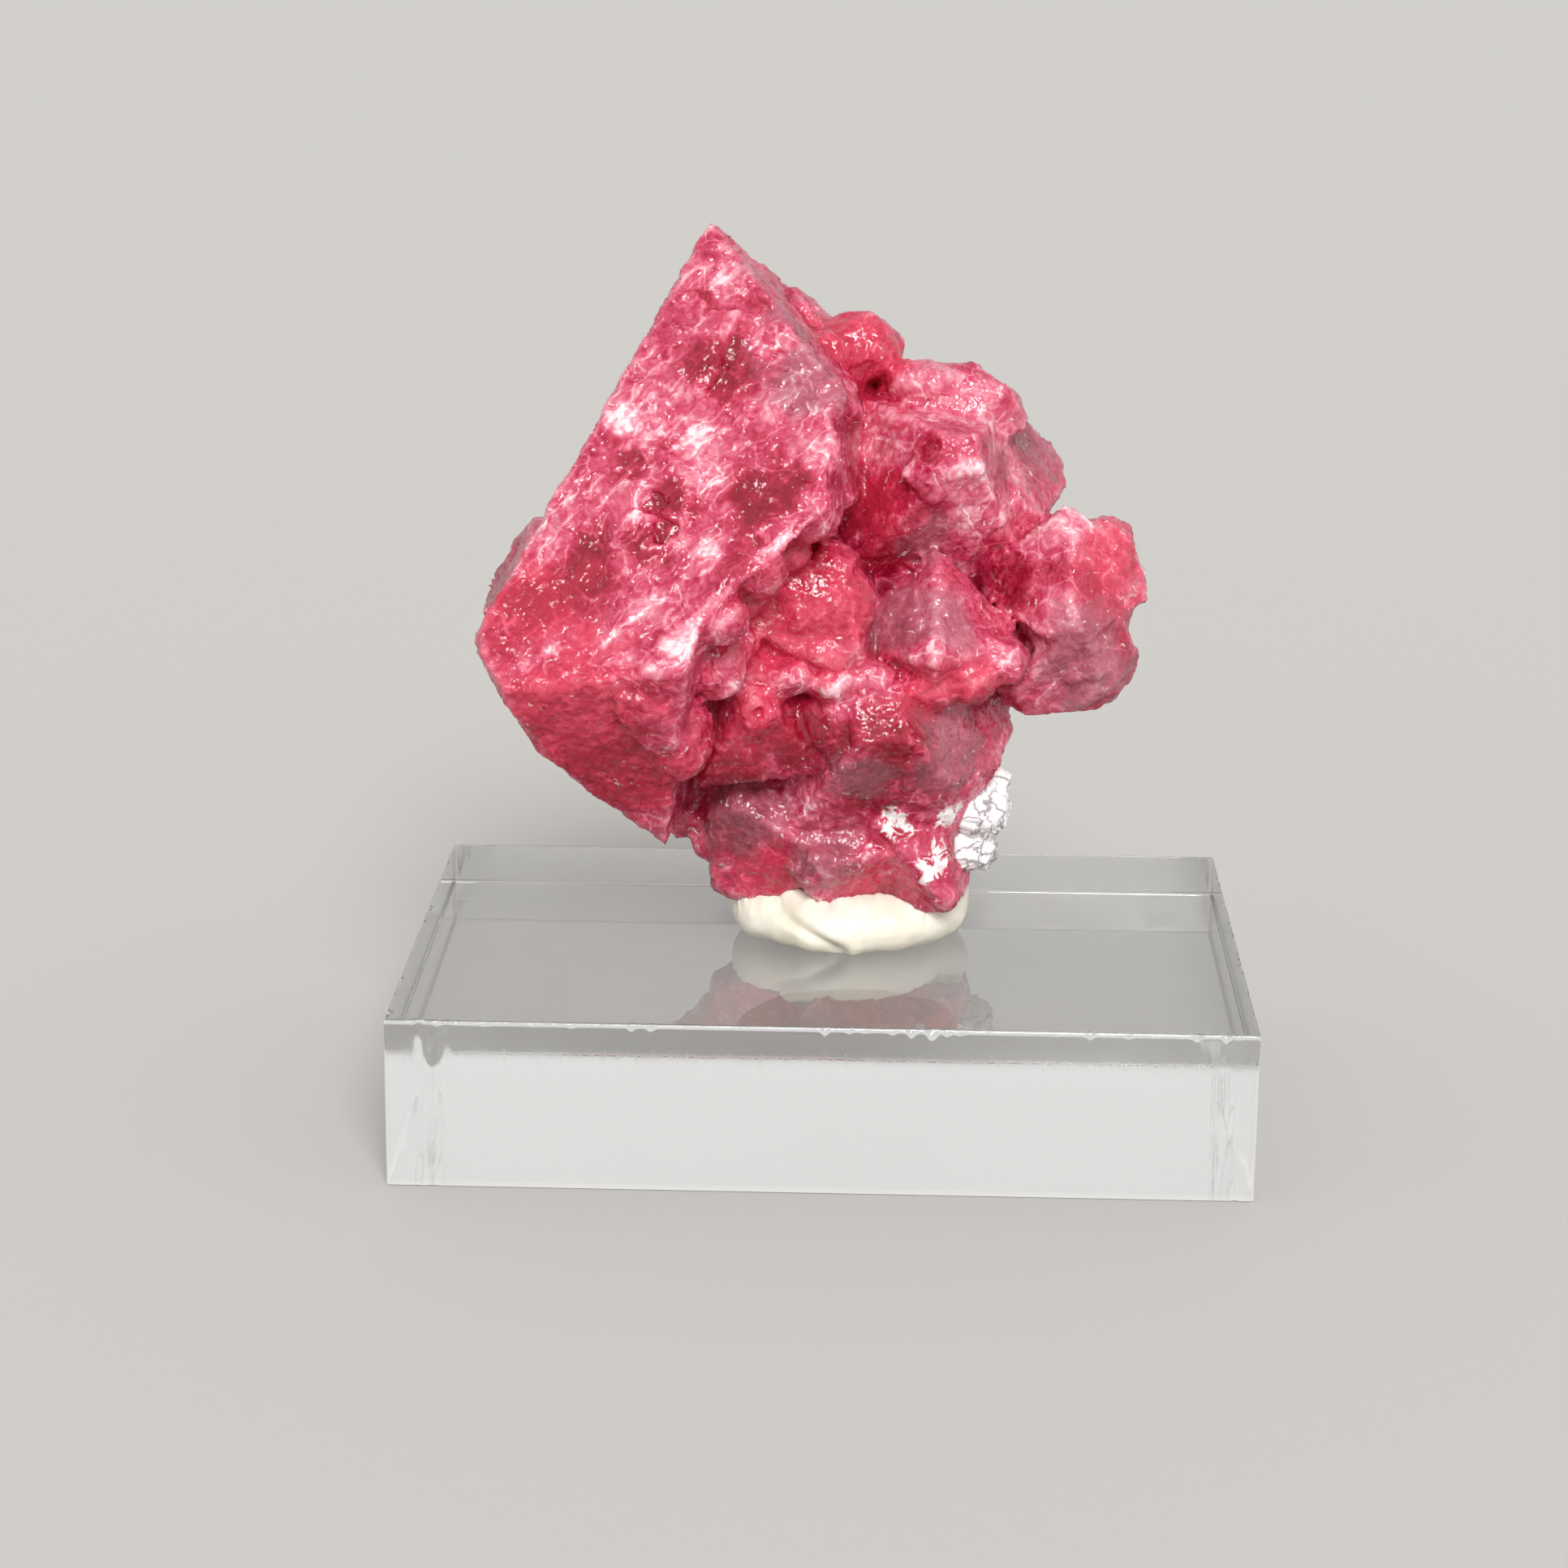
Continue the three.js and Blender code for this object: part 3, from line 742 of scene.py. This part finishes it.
# %% Spinel tone
TONE_MIDDLE = 0.55
TONE_PARTS = [
    # A field, its own middle, and how much it adds
    (mark["clouds"], 0.0, 0.24),
    (mottle, 0.5, 1.05),
    (veils_and_painted_highlights, 0.35, 0.3),
    (streaks, 0.1, 0.3),
    # clear windows, and painted shade in the notch, on the undersides and under the bead
    (mark["clear"], 0.0, -0.34),
    (mark["red"], 0.0, -0.04),
    # pale frost, and a painted highlight and painted light on the upper right crystal
    (mark["pale"], 0.0, 0.19),
    # painted shade in crevices
    (mark["crevice_shade"], 0.0, -0.2),
    (mark["edge"], 0.0, 0.15),
    (cracks, 0.0, 0.24),
]
tone = TONE_MIDDLE - sum(middle * amount for _, middle, amount in TONE_PARTS)
for field, _, amount in TONE_PARTS:
    tone = add(tree, "Math", {0: field, 1: amount, 2: tone}, operation="MULTIPLY_ADD")

SPINEL_COLOURS = [
    (0.0, "#a00a2c"),  # the deepest windows
    (0.24, "#bd2246"),
    (0.44, "#d24868"),
    (0.6, "#da6a81"),
    (0.78, "#e595a5"),
    (0.97, "#f6d6da"),  # frost
]
spinel_ramp = add(tree, "ValToRGB", {"Fac": tone})
stops = spinel_ramp.color_ramp.elements
while len(stops) < len(SPINEL_COLOURS):
    stops.new(0.5)
for stop, (at, colour) in zip(stops, SPINEL_COLOURS):
    stop.position = at
    stop.color = linear(colour)
print("fields in the tone:", len(TONE_PARTS), "colours in the ramp:", len(stops))

# %% [markdown]
# Three more colours lie over the ramp's. Clear red crystals glow coral, and some skins are a
# mauve grey, which also paints shade on the side face by the peak and on the undersides. White
# is left for traces of calcite, for painted glare beside them, and for sparkles, which are
# painted glints where here and there a speck of clean crystal flashes.

# %% Spinel colour
RED_AMOUNT = 0.6
GREY_AMOUNT = 0.55

red_share = add(tree, "Math", {0: mark["red"], 1: RED_AMOUNT}, operation="MULTIPLY")
warm = add(
    tree,
    "Mix",
    {0: red_share, 6: spinel_ramp, 7: linear("#de3252")},
    data_type="RGBA",
)
# Grey is a mauve grey skin, and painted shade on the side face by the peak and on the undersides
grey_and_shade_share = add(tree, "Math", {0: mark["grey_and_shade"], 1: GREY_AMOUNT}, operation="MULTIPLY")
greyed = add(
    tree,
    "Mix",
    {0: grey_and_shade_share, 6: warm.outputs[2], 7: linear("#a36b77")},
    data_type="RGBA",
)
# White, partly calcite and partly painted glare, is left where a white spot and the mottle are both
# high
calcite_and_glare_field = add(tree, "Math", {0: mottle, 1: 2.5, 2: mark["white"]}, operation="MULTIPLY_ADD")
calcite_and_glare_patches = add(tree, "MapRange", {"Value": calcite_and_glare_field, "From Min": 2.05, "From Max": 2.25})
# Sparkles are painted glints: white specks where a fine noise peaks
specks = add(
    tree,
    "TexNoise",
    {"Vector": bent, "Scale": per(0.45), "Detail": 2.0, "Distortion": 1.5},
)
painted_glints = add(
    tree,
    "MapRange",
    {"Value": specks, "From Min": 0.68, "From Max": 0.74, "To Max": 0.85},
)
calcite_glare_and_glint_share = add(tree, "Math", {0: calcite_and_glare_patches, 1: painted_glints}, operation="MAXIMUM")
spinel_colour = add(
    tree,
    "Mix",
    {0: calcite_glare_and_glint_share, 6: greyed.outputs[2], 7: linear("#fbf4f2")},
    data_type="RGBA",
)
print("nodes in the spinel so far:", len(tree.nodes))

# %% [markdown]
# Finer relief than the mesh can hold comes from the shader: rounded bumps of 0.45 mm, as on a
# surface that has been lightly dissolved, and flat glinting facets of 0.35 mm. For those each
# cell of a texture leans the surface's normal its own way, so that now and then one mirrors
# the light. Clear spots let more light through than the frosted ones.

# %% Spinel shader
rounded = add(tree, "TexNoise", {"Vector": place, "Scale": per(0.45), "Detail": 1.0})
bump = add(tree, "Bump", {"Height": rounded, "Strength": 0.8, "Distance": 0.2 * MM})
facets = add(tree, "TexVoronoi", {"Vector": place, "Scale": per(0.35)}, feature="F1")
lean = add(tree, "VectorMath", {0: facets.outputs["Color"], 1: (0.5, 0.5, 0.5)}, operation="SUBTRACT")
lean_scale = add(tree, "MapRange", {"Value": mottle, "From Min": 0.4, "From Max": 0.6, "To Max": 0.7})
lean = add(tree, "VectorMath", {0: lean, "Scale": lean_scale}, operation="SCALE")
leaning = add(tree, "VectorMath", {0: bump, 1: lean}, operation="ADD")
leaning = add(tree, "VectorMath", {0: leaning}, operation="NORMALIZE")

roughness = add(
    tree,
    "MapRange",
    {"Value": mottle, "From Min": 0.35, "From Max": 0.65, "To Min": 0.13, "To Max": 0.34},
)
see_through = add(
    tree,
    "MapRange",
    {"Value": tone, "From Min": 0.1, "From Max": 0.75, "To Min": 0.36, "To Max": 0.05},
)
shader = add(
    tree,
    "BsdfPrincipled",
    subsurface_method="BURLEY",
    inputs={
        "Base Color": spinel_colour.outputs[2],
        "Roughness": roughness,
        "IOR": 1.718,
        "Specular IOR Level": 0.32,
        "Transmission Weight": see_through,
        "Subsurface Weight": 0.5,
        "Subsurface Radius": (1.0, 0.28, 0.36),
        "Subsurface Scale": 1.3 * MM,
        "Normal": leaning,
    },
)
inside = add(tree, "VolumeAbsorption", {"Color": linear("#e8405c"), "Density": 90.0})
add(tree, "OutputMaterial", {"Surface": shader, "Volume": inside})
show_piece("pink_spinel", crystal_mesh, spinel, "spinel_crystals")

# %% [markdown]
# ## Pieces that touch the crystals
#
# The CAD pieces keep a gap of 0.3 mm, because two solids mustn't overlap there. The real
# tack and calcite have no gap: one is pressed on, and the other is the rock that the crystals
# grew in. So the points of those pieces that lie near the crystals are drawn up to them and a
# little way in.

# %% Helper for pressing one piece on another
PRESS_REACH = 1.0
PRESS_FULL = 0.4  # a point nearer than this is drawn the whole way
PRESS_DEPTH = 0.12
crystal_tree = BVHTree.FromPolygons(
    [tuple(p) for p in points], [tuple(face.vertices) for face in crystal_mesh.polygons]
)


def pressed_on(piece_points):
    """Draws the points within reach of the crystals up to them and a little way in."""
    moved = piece_points.copy()
    for i, p in enumerate(piece_points):
        spot, out, _, gap = crystal_tree.find_nearest(Vector(p), PRESS_REACH)
        if spot is None or (Vector(p) - spot).dot(out) < 0:
            continue
        closeness = 1 - float(ramp(np.float64(gap), PRESS_FULL, PRESS_REACH))
        target = spot - out * PRESS_DEPTH
        moved[i] += (np.array(target) - p) * closeness
    return moved


# %% [markdown]
# ## The white tack
#
# Mineral tack is a soft putty, rolled into a rope and pressed flat under the specimen. It
# squeezes out as a fat rolled rim, with a fold where the roll's two ends met. Its surface is
# smooth and dull with faint dimples. The CAD solid has the form, so it only needs evening
# out, the fold and the dimples.

# %% Tack mesh
TACK_VOXEL = 0.15
TACK_ROUNDS = 14
TACK_EVENING = 0.5

tack_mesh = fine_mesh("mineral_tack", TACK_VOXEL)
tack_points, _ = read_mesh(tack_mesh)
tack_mean = neighbours_of(tack_mesh)
for _ in range(TACK_ROUNDS):
    tack_points += TACK_EVENING * (middles(tack_mean, tack_points) - tack_points)
place_points(tack_mesh, tack_points)
print("tack points:", len(tack_points))

# %% [markdown]
# The fold is a groove across the front of the rim, from its upper left down to the right,
# with a low lip above it. It deepens over the first part of its way.

# %% Tack fold
FOLD_START = np.array([-2.9, 11.3])  # across and up
FOLD_END = np.array([0.7, 9.3])
FOLD_DEPTH = 0.32
FOLD_WIDTH = 0.3
LIP_HEIGHT = 0.16
LIP_FROM_FOLD = 0.75
LIP_WIDTH = 0.4
FOLD_DEEPENS = (-0.25, 0.1)  # as shares of the way along it

tack_points, tack_normals = read_mesh(tack_mesh)
along = FOLD_END - FOLD_START
from_start = tack_points[:, [0, 2]] - FOLD_START
share = from_start @ along / (along @ along)
off_fold = np.linalg.norm(from_start - np.clip(share, 0, 1)[:, None] * along, axis=1)
above_fold = from_start[:, 1] * along[0] - from_start[:, 0] * along[1]
front = ramp(-tack_normals[:, 1], 0.1, 0.5)  # only what faces the front is folded
fold = -FOLD_DEPTH * np.exp(-((off_fold / FOLD_WIDTH) ** 2))
lip_profile = np.exp(-(((off_fold - LIP_FROM_FOLD) / LIP_WIDTH) ** 2))
fold += LIP_HEIGHT * lip_profile * (above_fold > 0)
fold *= front * ramp(share, *FOLD_DEEPENS)
print("the fold goes from", round(float(fold.min()), 2), "to", round(float(fold.max()), 2), "mm")

# %% Tack dimples and pressing
TACK_SWELL = 2.4
TACK_SWELL_HEIGHT = 0.12
DIMPLE = 0.5
DIMPLE_DEPTH = 0.02
TACK_SINK = 0.02  # how far the tack goes into the block's top, so that no gap shows
BLOCK_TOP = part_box("acrylic_block")[1][2] / MM

tack_relief = fold + TACK_SWELL_HEIGHT * soft(tack_points, TACK_SWELL, seed=8)
tack_relief += DIMPLE_DEPTH * soft(tack_points, DIMPLE, seed=9)
tack_points = pressed_on(tack_points + tack_normals * tack_relief[:, None])
tack_points[:, 2] = np.maximum(tack_points[:, 2], BLOCK_TOP - TACK_SINK)
place_points(tack_mesh, tack_points)
print("tack dimpled and pressed, its top at", round(float(tack_points[:, 2].max()), 2), "mm")

# %% [markdown]
# The putty is chalk in an oily binder: cream white, dull, and light sinks into it a little,
# which softens its shading.

# %% Tack material
putty, tree = new_material("chalk_putty")
place = add(tree, "TexCoord").outputs["Object"]
stains = add(tree, "TexNoise", {"Vector": place, "Scale": per(2.5), "Detail": 5.0, "Roughness": 0.6})
stains = add(tree, "MapRange", {"Value": stains, "From Min": 0.35, "From Max": 0.65})
putty_colour = add(
    tree,
    "Mix",
    {0: stains, 6: linear("#e6dfcc"), 7: linear("#f3eee0")},
    data_type="RGBA",
)
dimples = add(tree, "TexNoise", {"Vector": place, "Scale": per(0.35), "Detail": 4.0})
dimple_bump = add(tree, "Bump", {"Height": dimples, "Strength": 0.35, "Distance": 0.06 * MM})
putty_roughness = add(tree, "MapRange", {"Value": dimples, "To Min": 0.42, "To Max": 0.62})
shader = add(
    tree,
    "BsdfPrincipled",
    {
        "Base Color": putty_colour.outputs[2],
        "Roughness": putty_roughness,
        "Subsurface Weight": 0.3,
        "Subsurface Radius": (1.0, 0.85, 0.6),
        "Subsurface Scale": 0.8 * MM,
        "Normal": dimple_bump,
    },
)
add(tree, "OutputMaterial", {"Surface": shader})
show_piece("white_tack", tack_mesh, putty, "mineral_tack")

# %% [markdown]
# ## The calcite remnant
#
# The spinel grew in white marble, and acid took most of that away. What is left is a crust of
# calcite with a crumpled look, like foil, because acid eats it unevenly along its cleavage.
# Steep tilted plates and sharp creases give that.

# %% Calcite mesh
CALCITE_VOXEL = 0.11
CLEAVAGE_PLATE = 0.9
CLEAVAGE_PLATE_SLOPE = 0.5
CLEAVAGE_CHIP = 0.45
CLEAVAGE_CHIP_SLOPE = 0.35
CREASE_SPACING = 1.1
CREASE_DEPTH = 0.2
CREASE_REACH = 0.14  # how far from the noise's middle value a crease goes

calcite_mesh = fine_mesh("calcite_remnant", CALCITE_VOXEL)
calcite_points, calcite_normals = read_mesh(calcite_mesh)
calcite_relief = CLEAVAGE_PLATE_SLOPE * plates(calcite_points, CLEAVAGE_PLATE, seed=4)
calcite_relief += CLEAVAGE_CHIP_SLOPE * plates(calcite_points, CLEAVAGE_CHIP, seed=5)
from_crease = np.abs(soft(calcite_points, CREASE_SPACING, octaves=2, seed=6))
calcite_relief -= CREASE_DEPTH * (1 - ramp(from_crease, 0, CREASE_REACH))
calcite_points += calcite_normals * calcite_relief[:, None]
place_points(calcite_mesh, pressed_on(calcite_points))
print("calcite points:", len(calcite_points))

# %% [markdown]
# Calcite is a soft glossy carbonate with an index of about 1.6. Etched, it is a milky white,
# with painted shade in creases about a millimetre apart and two tenths of a millimetre wide.

# %% Calcite material
calcite, tree = new_material("etched_calcite")
place = add(tree, "TexCoord").outputs["Object"]
creases = add(
    tree,
    "TexVoronoi",
    {"Vector": wandering(tree, place, size=0.9, length=1.2), "Scale": per(1.2)},
    feature="DISTANCE_TO_EDGE",
)
# The distance to a crease is counted in cells of 1.2 mm
off_crease_shade = add(tree, "MapRange", {"Value": creases, "From Min": 0.0, "From Max": 0.09})
# The grey in the creases is painted shade
calcite_colour = add(
    tree,
    "Mix",
    {0: off_crease_shade, 6: linear("#8d7f85"), 7: linear("#f3f0f0")},
    data_type="RGBA",
)
etched = add(tree, "TexNoise", {"Vector": place, "Scale": per(0.2), "Detail": 3.0})
etched_bump = add(tree, "Bump", {"Height": etched, "Strength": 0.5, "Distance": 0.05 * MM})
shader = add(
    tree,
    "BsdfPrincipled",
    {
        "Base Color": calcite_colour.outputs[2],
        "Roughness": 0.28,
        "IOR": 1.6,
        "Subsurface Weight": 0.25,
        "Subsurface Radius": (1.0, 0.9, 0.9),
        "Subsurface Scale": 0.6 * MM,
        "Normal": etched_bump,
    },
)
add(tree, "OutputMaterial", {"Surface": shader})
show_piece("calcite_crust", calcite_mesh, calcite, "calcite_remnant")

# %% [markdown]
# ## The acrylic block: form
#
# The block was sawn from a thick sheet of cast acrylic. Its top and bottom are the sheet's own
# polished faces, and its four sides were cut and only lightly polished, so they keep fine
# upright saw marks, and the top edges have tiny chips. The mesh is a stack of rings round the
# block, with a flat face at either end. Each ring is worked out from the block's outline, and
# the marks and chips push its points inwards.

# %% Block outline
RING_STEP = 0.12
CORNER_RADIUS = 0.15

half_width, half_depth, _ = np.array(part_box("acrylic_block")[1]) / MM


def outline():
    """Points round the block with the way out at each, as rows of x, y, out x and out y."""
    rows = []
    for quarter in range(4):
        turn = quarter * math.pi / 2
        reach = half_width if quarter % 2 == 0 else half_depth
        length = 2 * ((half_depth if quarter % 2 == 0 else half_width) - CORNER_RADIUS)
        out = np.array([math.cos(turn), math.sin(turn)])
        forward = np.array([-out[1], out[0]])
        for s in np.linspace(-length / 2, length / 2, round(length / RING_STEP)):
            rows.append([*(out * reach + forward * s), *out])
        centre = out * (reach - CORNER_RADIUS) + forward * length / 2
        for angle in (math.pi / 8, math.pi / 4, 3 * math.pi / 8):
            way = out * math.cos(angle) + forward * math.sin(angle)
            rows.append([*(centre + way * CORNER_RADIUS), *way])
    return np.array(rows)


ring = outline()
print("points in a ring:", len(ring))

# %% [markdown]
# Saw marks run straight up, so they depend on the place along the outline far more than on
# the height. Near the two front corners the saw chattered and left deeper, paler grooves. The
# chips are along the top edges, and come in groups.

# %% Block rings
BLOCK_EDGE = 0.12
SIDE_ROWS = 30
# How far up and how far in each ring lies, as shares of the edge's rounding
ROUNDING = [(0.0, 1.0), (0.3, 0.35), (1.0, 0.0)]

levels = [(up * BLOCK_EDGE, inward * BLOCK_EDGE) for up, inward in ROUNDING]
for row in range(1, SIDE_ROWS):
    levels.append((BLOCK_EDGE + (BLOCK_TOP - 2 * BLOCK_EDGE) * row / SIDE_ROWS, 0.0))
for up, inward in reversed(ROUNDING):
    levels.append((BLOCK_TOP - up * BLOCK_EDGE, inward * BLOCK_EDGE))
print("rings:", len(levels))

# %% Saw marks and chips
# Left as -1 or right as 1, how far in from the corner, how wide, and how strong
CHATTER_PLACES = [(-1, 2.2, 0.9, 1.0), (1, 1.3, 0.6, 0.6)]
CHATTER_DEPTH = 0.3
CHATTER_SIZE = 0.5
CHATTER_STRETCH = 2.4
# Depth, width, how far they run upwards, and the noise's seed
SAW_MARKS = [(0.006, 0.25, 6, 1), (0.012, 1.4, 14, 2)]
BLOCK_CHIP = 0.45
BLOCK_CHIP_DEPTH = 0.9
BLOCK_CHIP_REACH = 0.35
CHIP_RARITY = 0.3  # more of this leaves fewer chips
CHIP_GROUP = 3  # the length of the stretches of the edge that have many chips or few
CHIP_GROUP_MIDDLE = 0.4

is_front = ramp(-ring[:, 3], 0.7, 0.9)
chatter = np.zeros(len(ring))
for sign, inset, width, strength in CHATTER_PLACES:
    off_middle = (ring[:, 0] - sign * (half_width - inset)) / width
    chatter = np.maximum(chatter, strength * np.exp(-(off_middle**2)) * is_front)


def noise_along(height, size, stretch, seed):
    """Noise round the outline at a height, with marks this wide and stretched upwards."""
    return np.array(
        [noise.noise(Vector((x / size + seed, y / size, height / stretch))) for x, y in ring[:, :2]]
    )


def depth_at(height):
    """How far the saw marks and the chips go in at a height, all round the outline."""
    marks = sum(depth * noise_along(height, *sizes) for depth, *sizes in SAW_MARKS)
    grooves = noise_along(height, CHATTER_SIZE, CHATTER_STRETCH, seed=3)
    marks += CHATTER_DEPTH * chatter * np.maximum(grooves, 0)
    chips = np.maximum(noise_along(0, BLOCK_CHIP, stretch=1, seed=4) - CHIP_RARITY, 0)
    chips *= np.maximum(CHIP_GROUP_MIDDLE + noise_along(0, CHIP_GROUP, stretch=1, seed=5), 0)
    chips *= BLOCK_CHIP_DEPTH * (1 - ramp(np.float64(BLOCK_TOP - height), 0.0, BLOCK_CHIP_REACH))
    return np.abs(marks) + chips


block_points = []
for height, inward in levels:
    depth = inward + depth_at(height)
    block_points.append(
        np.column_stack([ring[:, :2] - ring[:, 2:] * depth[:, None], np.full(len(ring), height)])
    )
block_points = np.concatenate(block_points)
print("block points:", len(block_points))

# %% Block mesh
count = len(ring)
block_faces = [tuple(range(count - 1, -1, -1))]
for row in range(len(levels) - 1):
    for i in range(count):
        j = (i + 1) % count
        block_faces.append(
            (row * count + i, row * count + j, (row + 1) * count + j, (row + 1) * count + i)
        )
block_faces.append(tuple(range((len(levels) - 1) * count, len(levels) * count)))

block_mesh = bpy.data.meshes.new("acrylic_block")
block_mesh.from_pydata((block_points * MM).tolist(), [], block_faces)
block_mesh.shade_smooth()
for cap in (block_mesh.polygons[0], block_mesh.polygons[len(block_faces) - 1]):
    cap.use_smooth = False
on_side = [1.0 if 0 < row < len(levels) - 1 else 0.0 for row in range(len(levels)) for _ in ring]
keep_mark(block_mesh, "sawn", on_side)
keep_mark(block_mesh, "chatter", np.tile(chatter, len(levels)) * np.array(on_side))
print("block faces:", len(block_faces))

# %% [markdown]
# Cast acrylic is clearer than window glass, with an index of 1.49. The polished top is a
# mirror at a low angle. The sides are smooth too, with upright scratches of about 0.1 mm that
# smear what is seen through them.

# %% Acrylic material
acrylic, tree = new_material("cast_acrylic")
place = add(tree, "TexCoord").outputs["Object"]
sawn = add(tree, "Attribute", attribute_name="sawn").outputs["Fac"]
chattered = add(tree, "Attribute", attribute_name="chatter").outputs["Fac"]
upright = add(tree, "Mapping", {"Vector": place, "Scale": (1.0, 1.0, 0.04)})
scratches = add(tree, "TexNoise", {"Vector": upright, "Scale": per(0.12), "Detail": 3.0})
speckle = add(tree, "TexNoise", {"Vector": place, "Scale": per(0.3), "Detail": 4.0})
rubbed = add(tree, "Math", {0: scratches, 1: speckle}, operation="ADD")
side_roughness = add(
    tree,
    "MapRange",
    {"Value": rubbed, "From Min": 0.8, "From Max": 1.3, "To Min": 0.02, "To Max": 0.16},
)
side_roughness = add(tree, "Math", {0: chattered, 1: 0.05, 2: side_roughness}, operation="MULTIPLY_ADD")
block_roughness = add(tree, "Math", {0: sawn, 1: side_roughness, 2: 0.005}, operation="MULTIPLY_ADD")
scratch_strength = add(tree, "Math", {0: sawn, 1: 0.3}, operation="MULTIPLY")
scratch_bump = add(
    tree,
    "Bump",
    {"Height": scratches, "Strength": scratch_strength, "Distance": 0.02 * MM},
)
shader = add(
    tree,
    "BsdfPrincipled",
    {
        "Base Color": linear("#fdfefd"),
        "Roughness": block_roughness,
        "IOR": 1.49,
        "Transmission Weight": 1.0,
        "Normal": scratch_bump,
    },
)
add(tree, "OutputMaterial", {"Surface": shader})
show_piece("clear_block", block_mesh, acrylic, "acrylic_block")
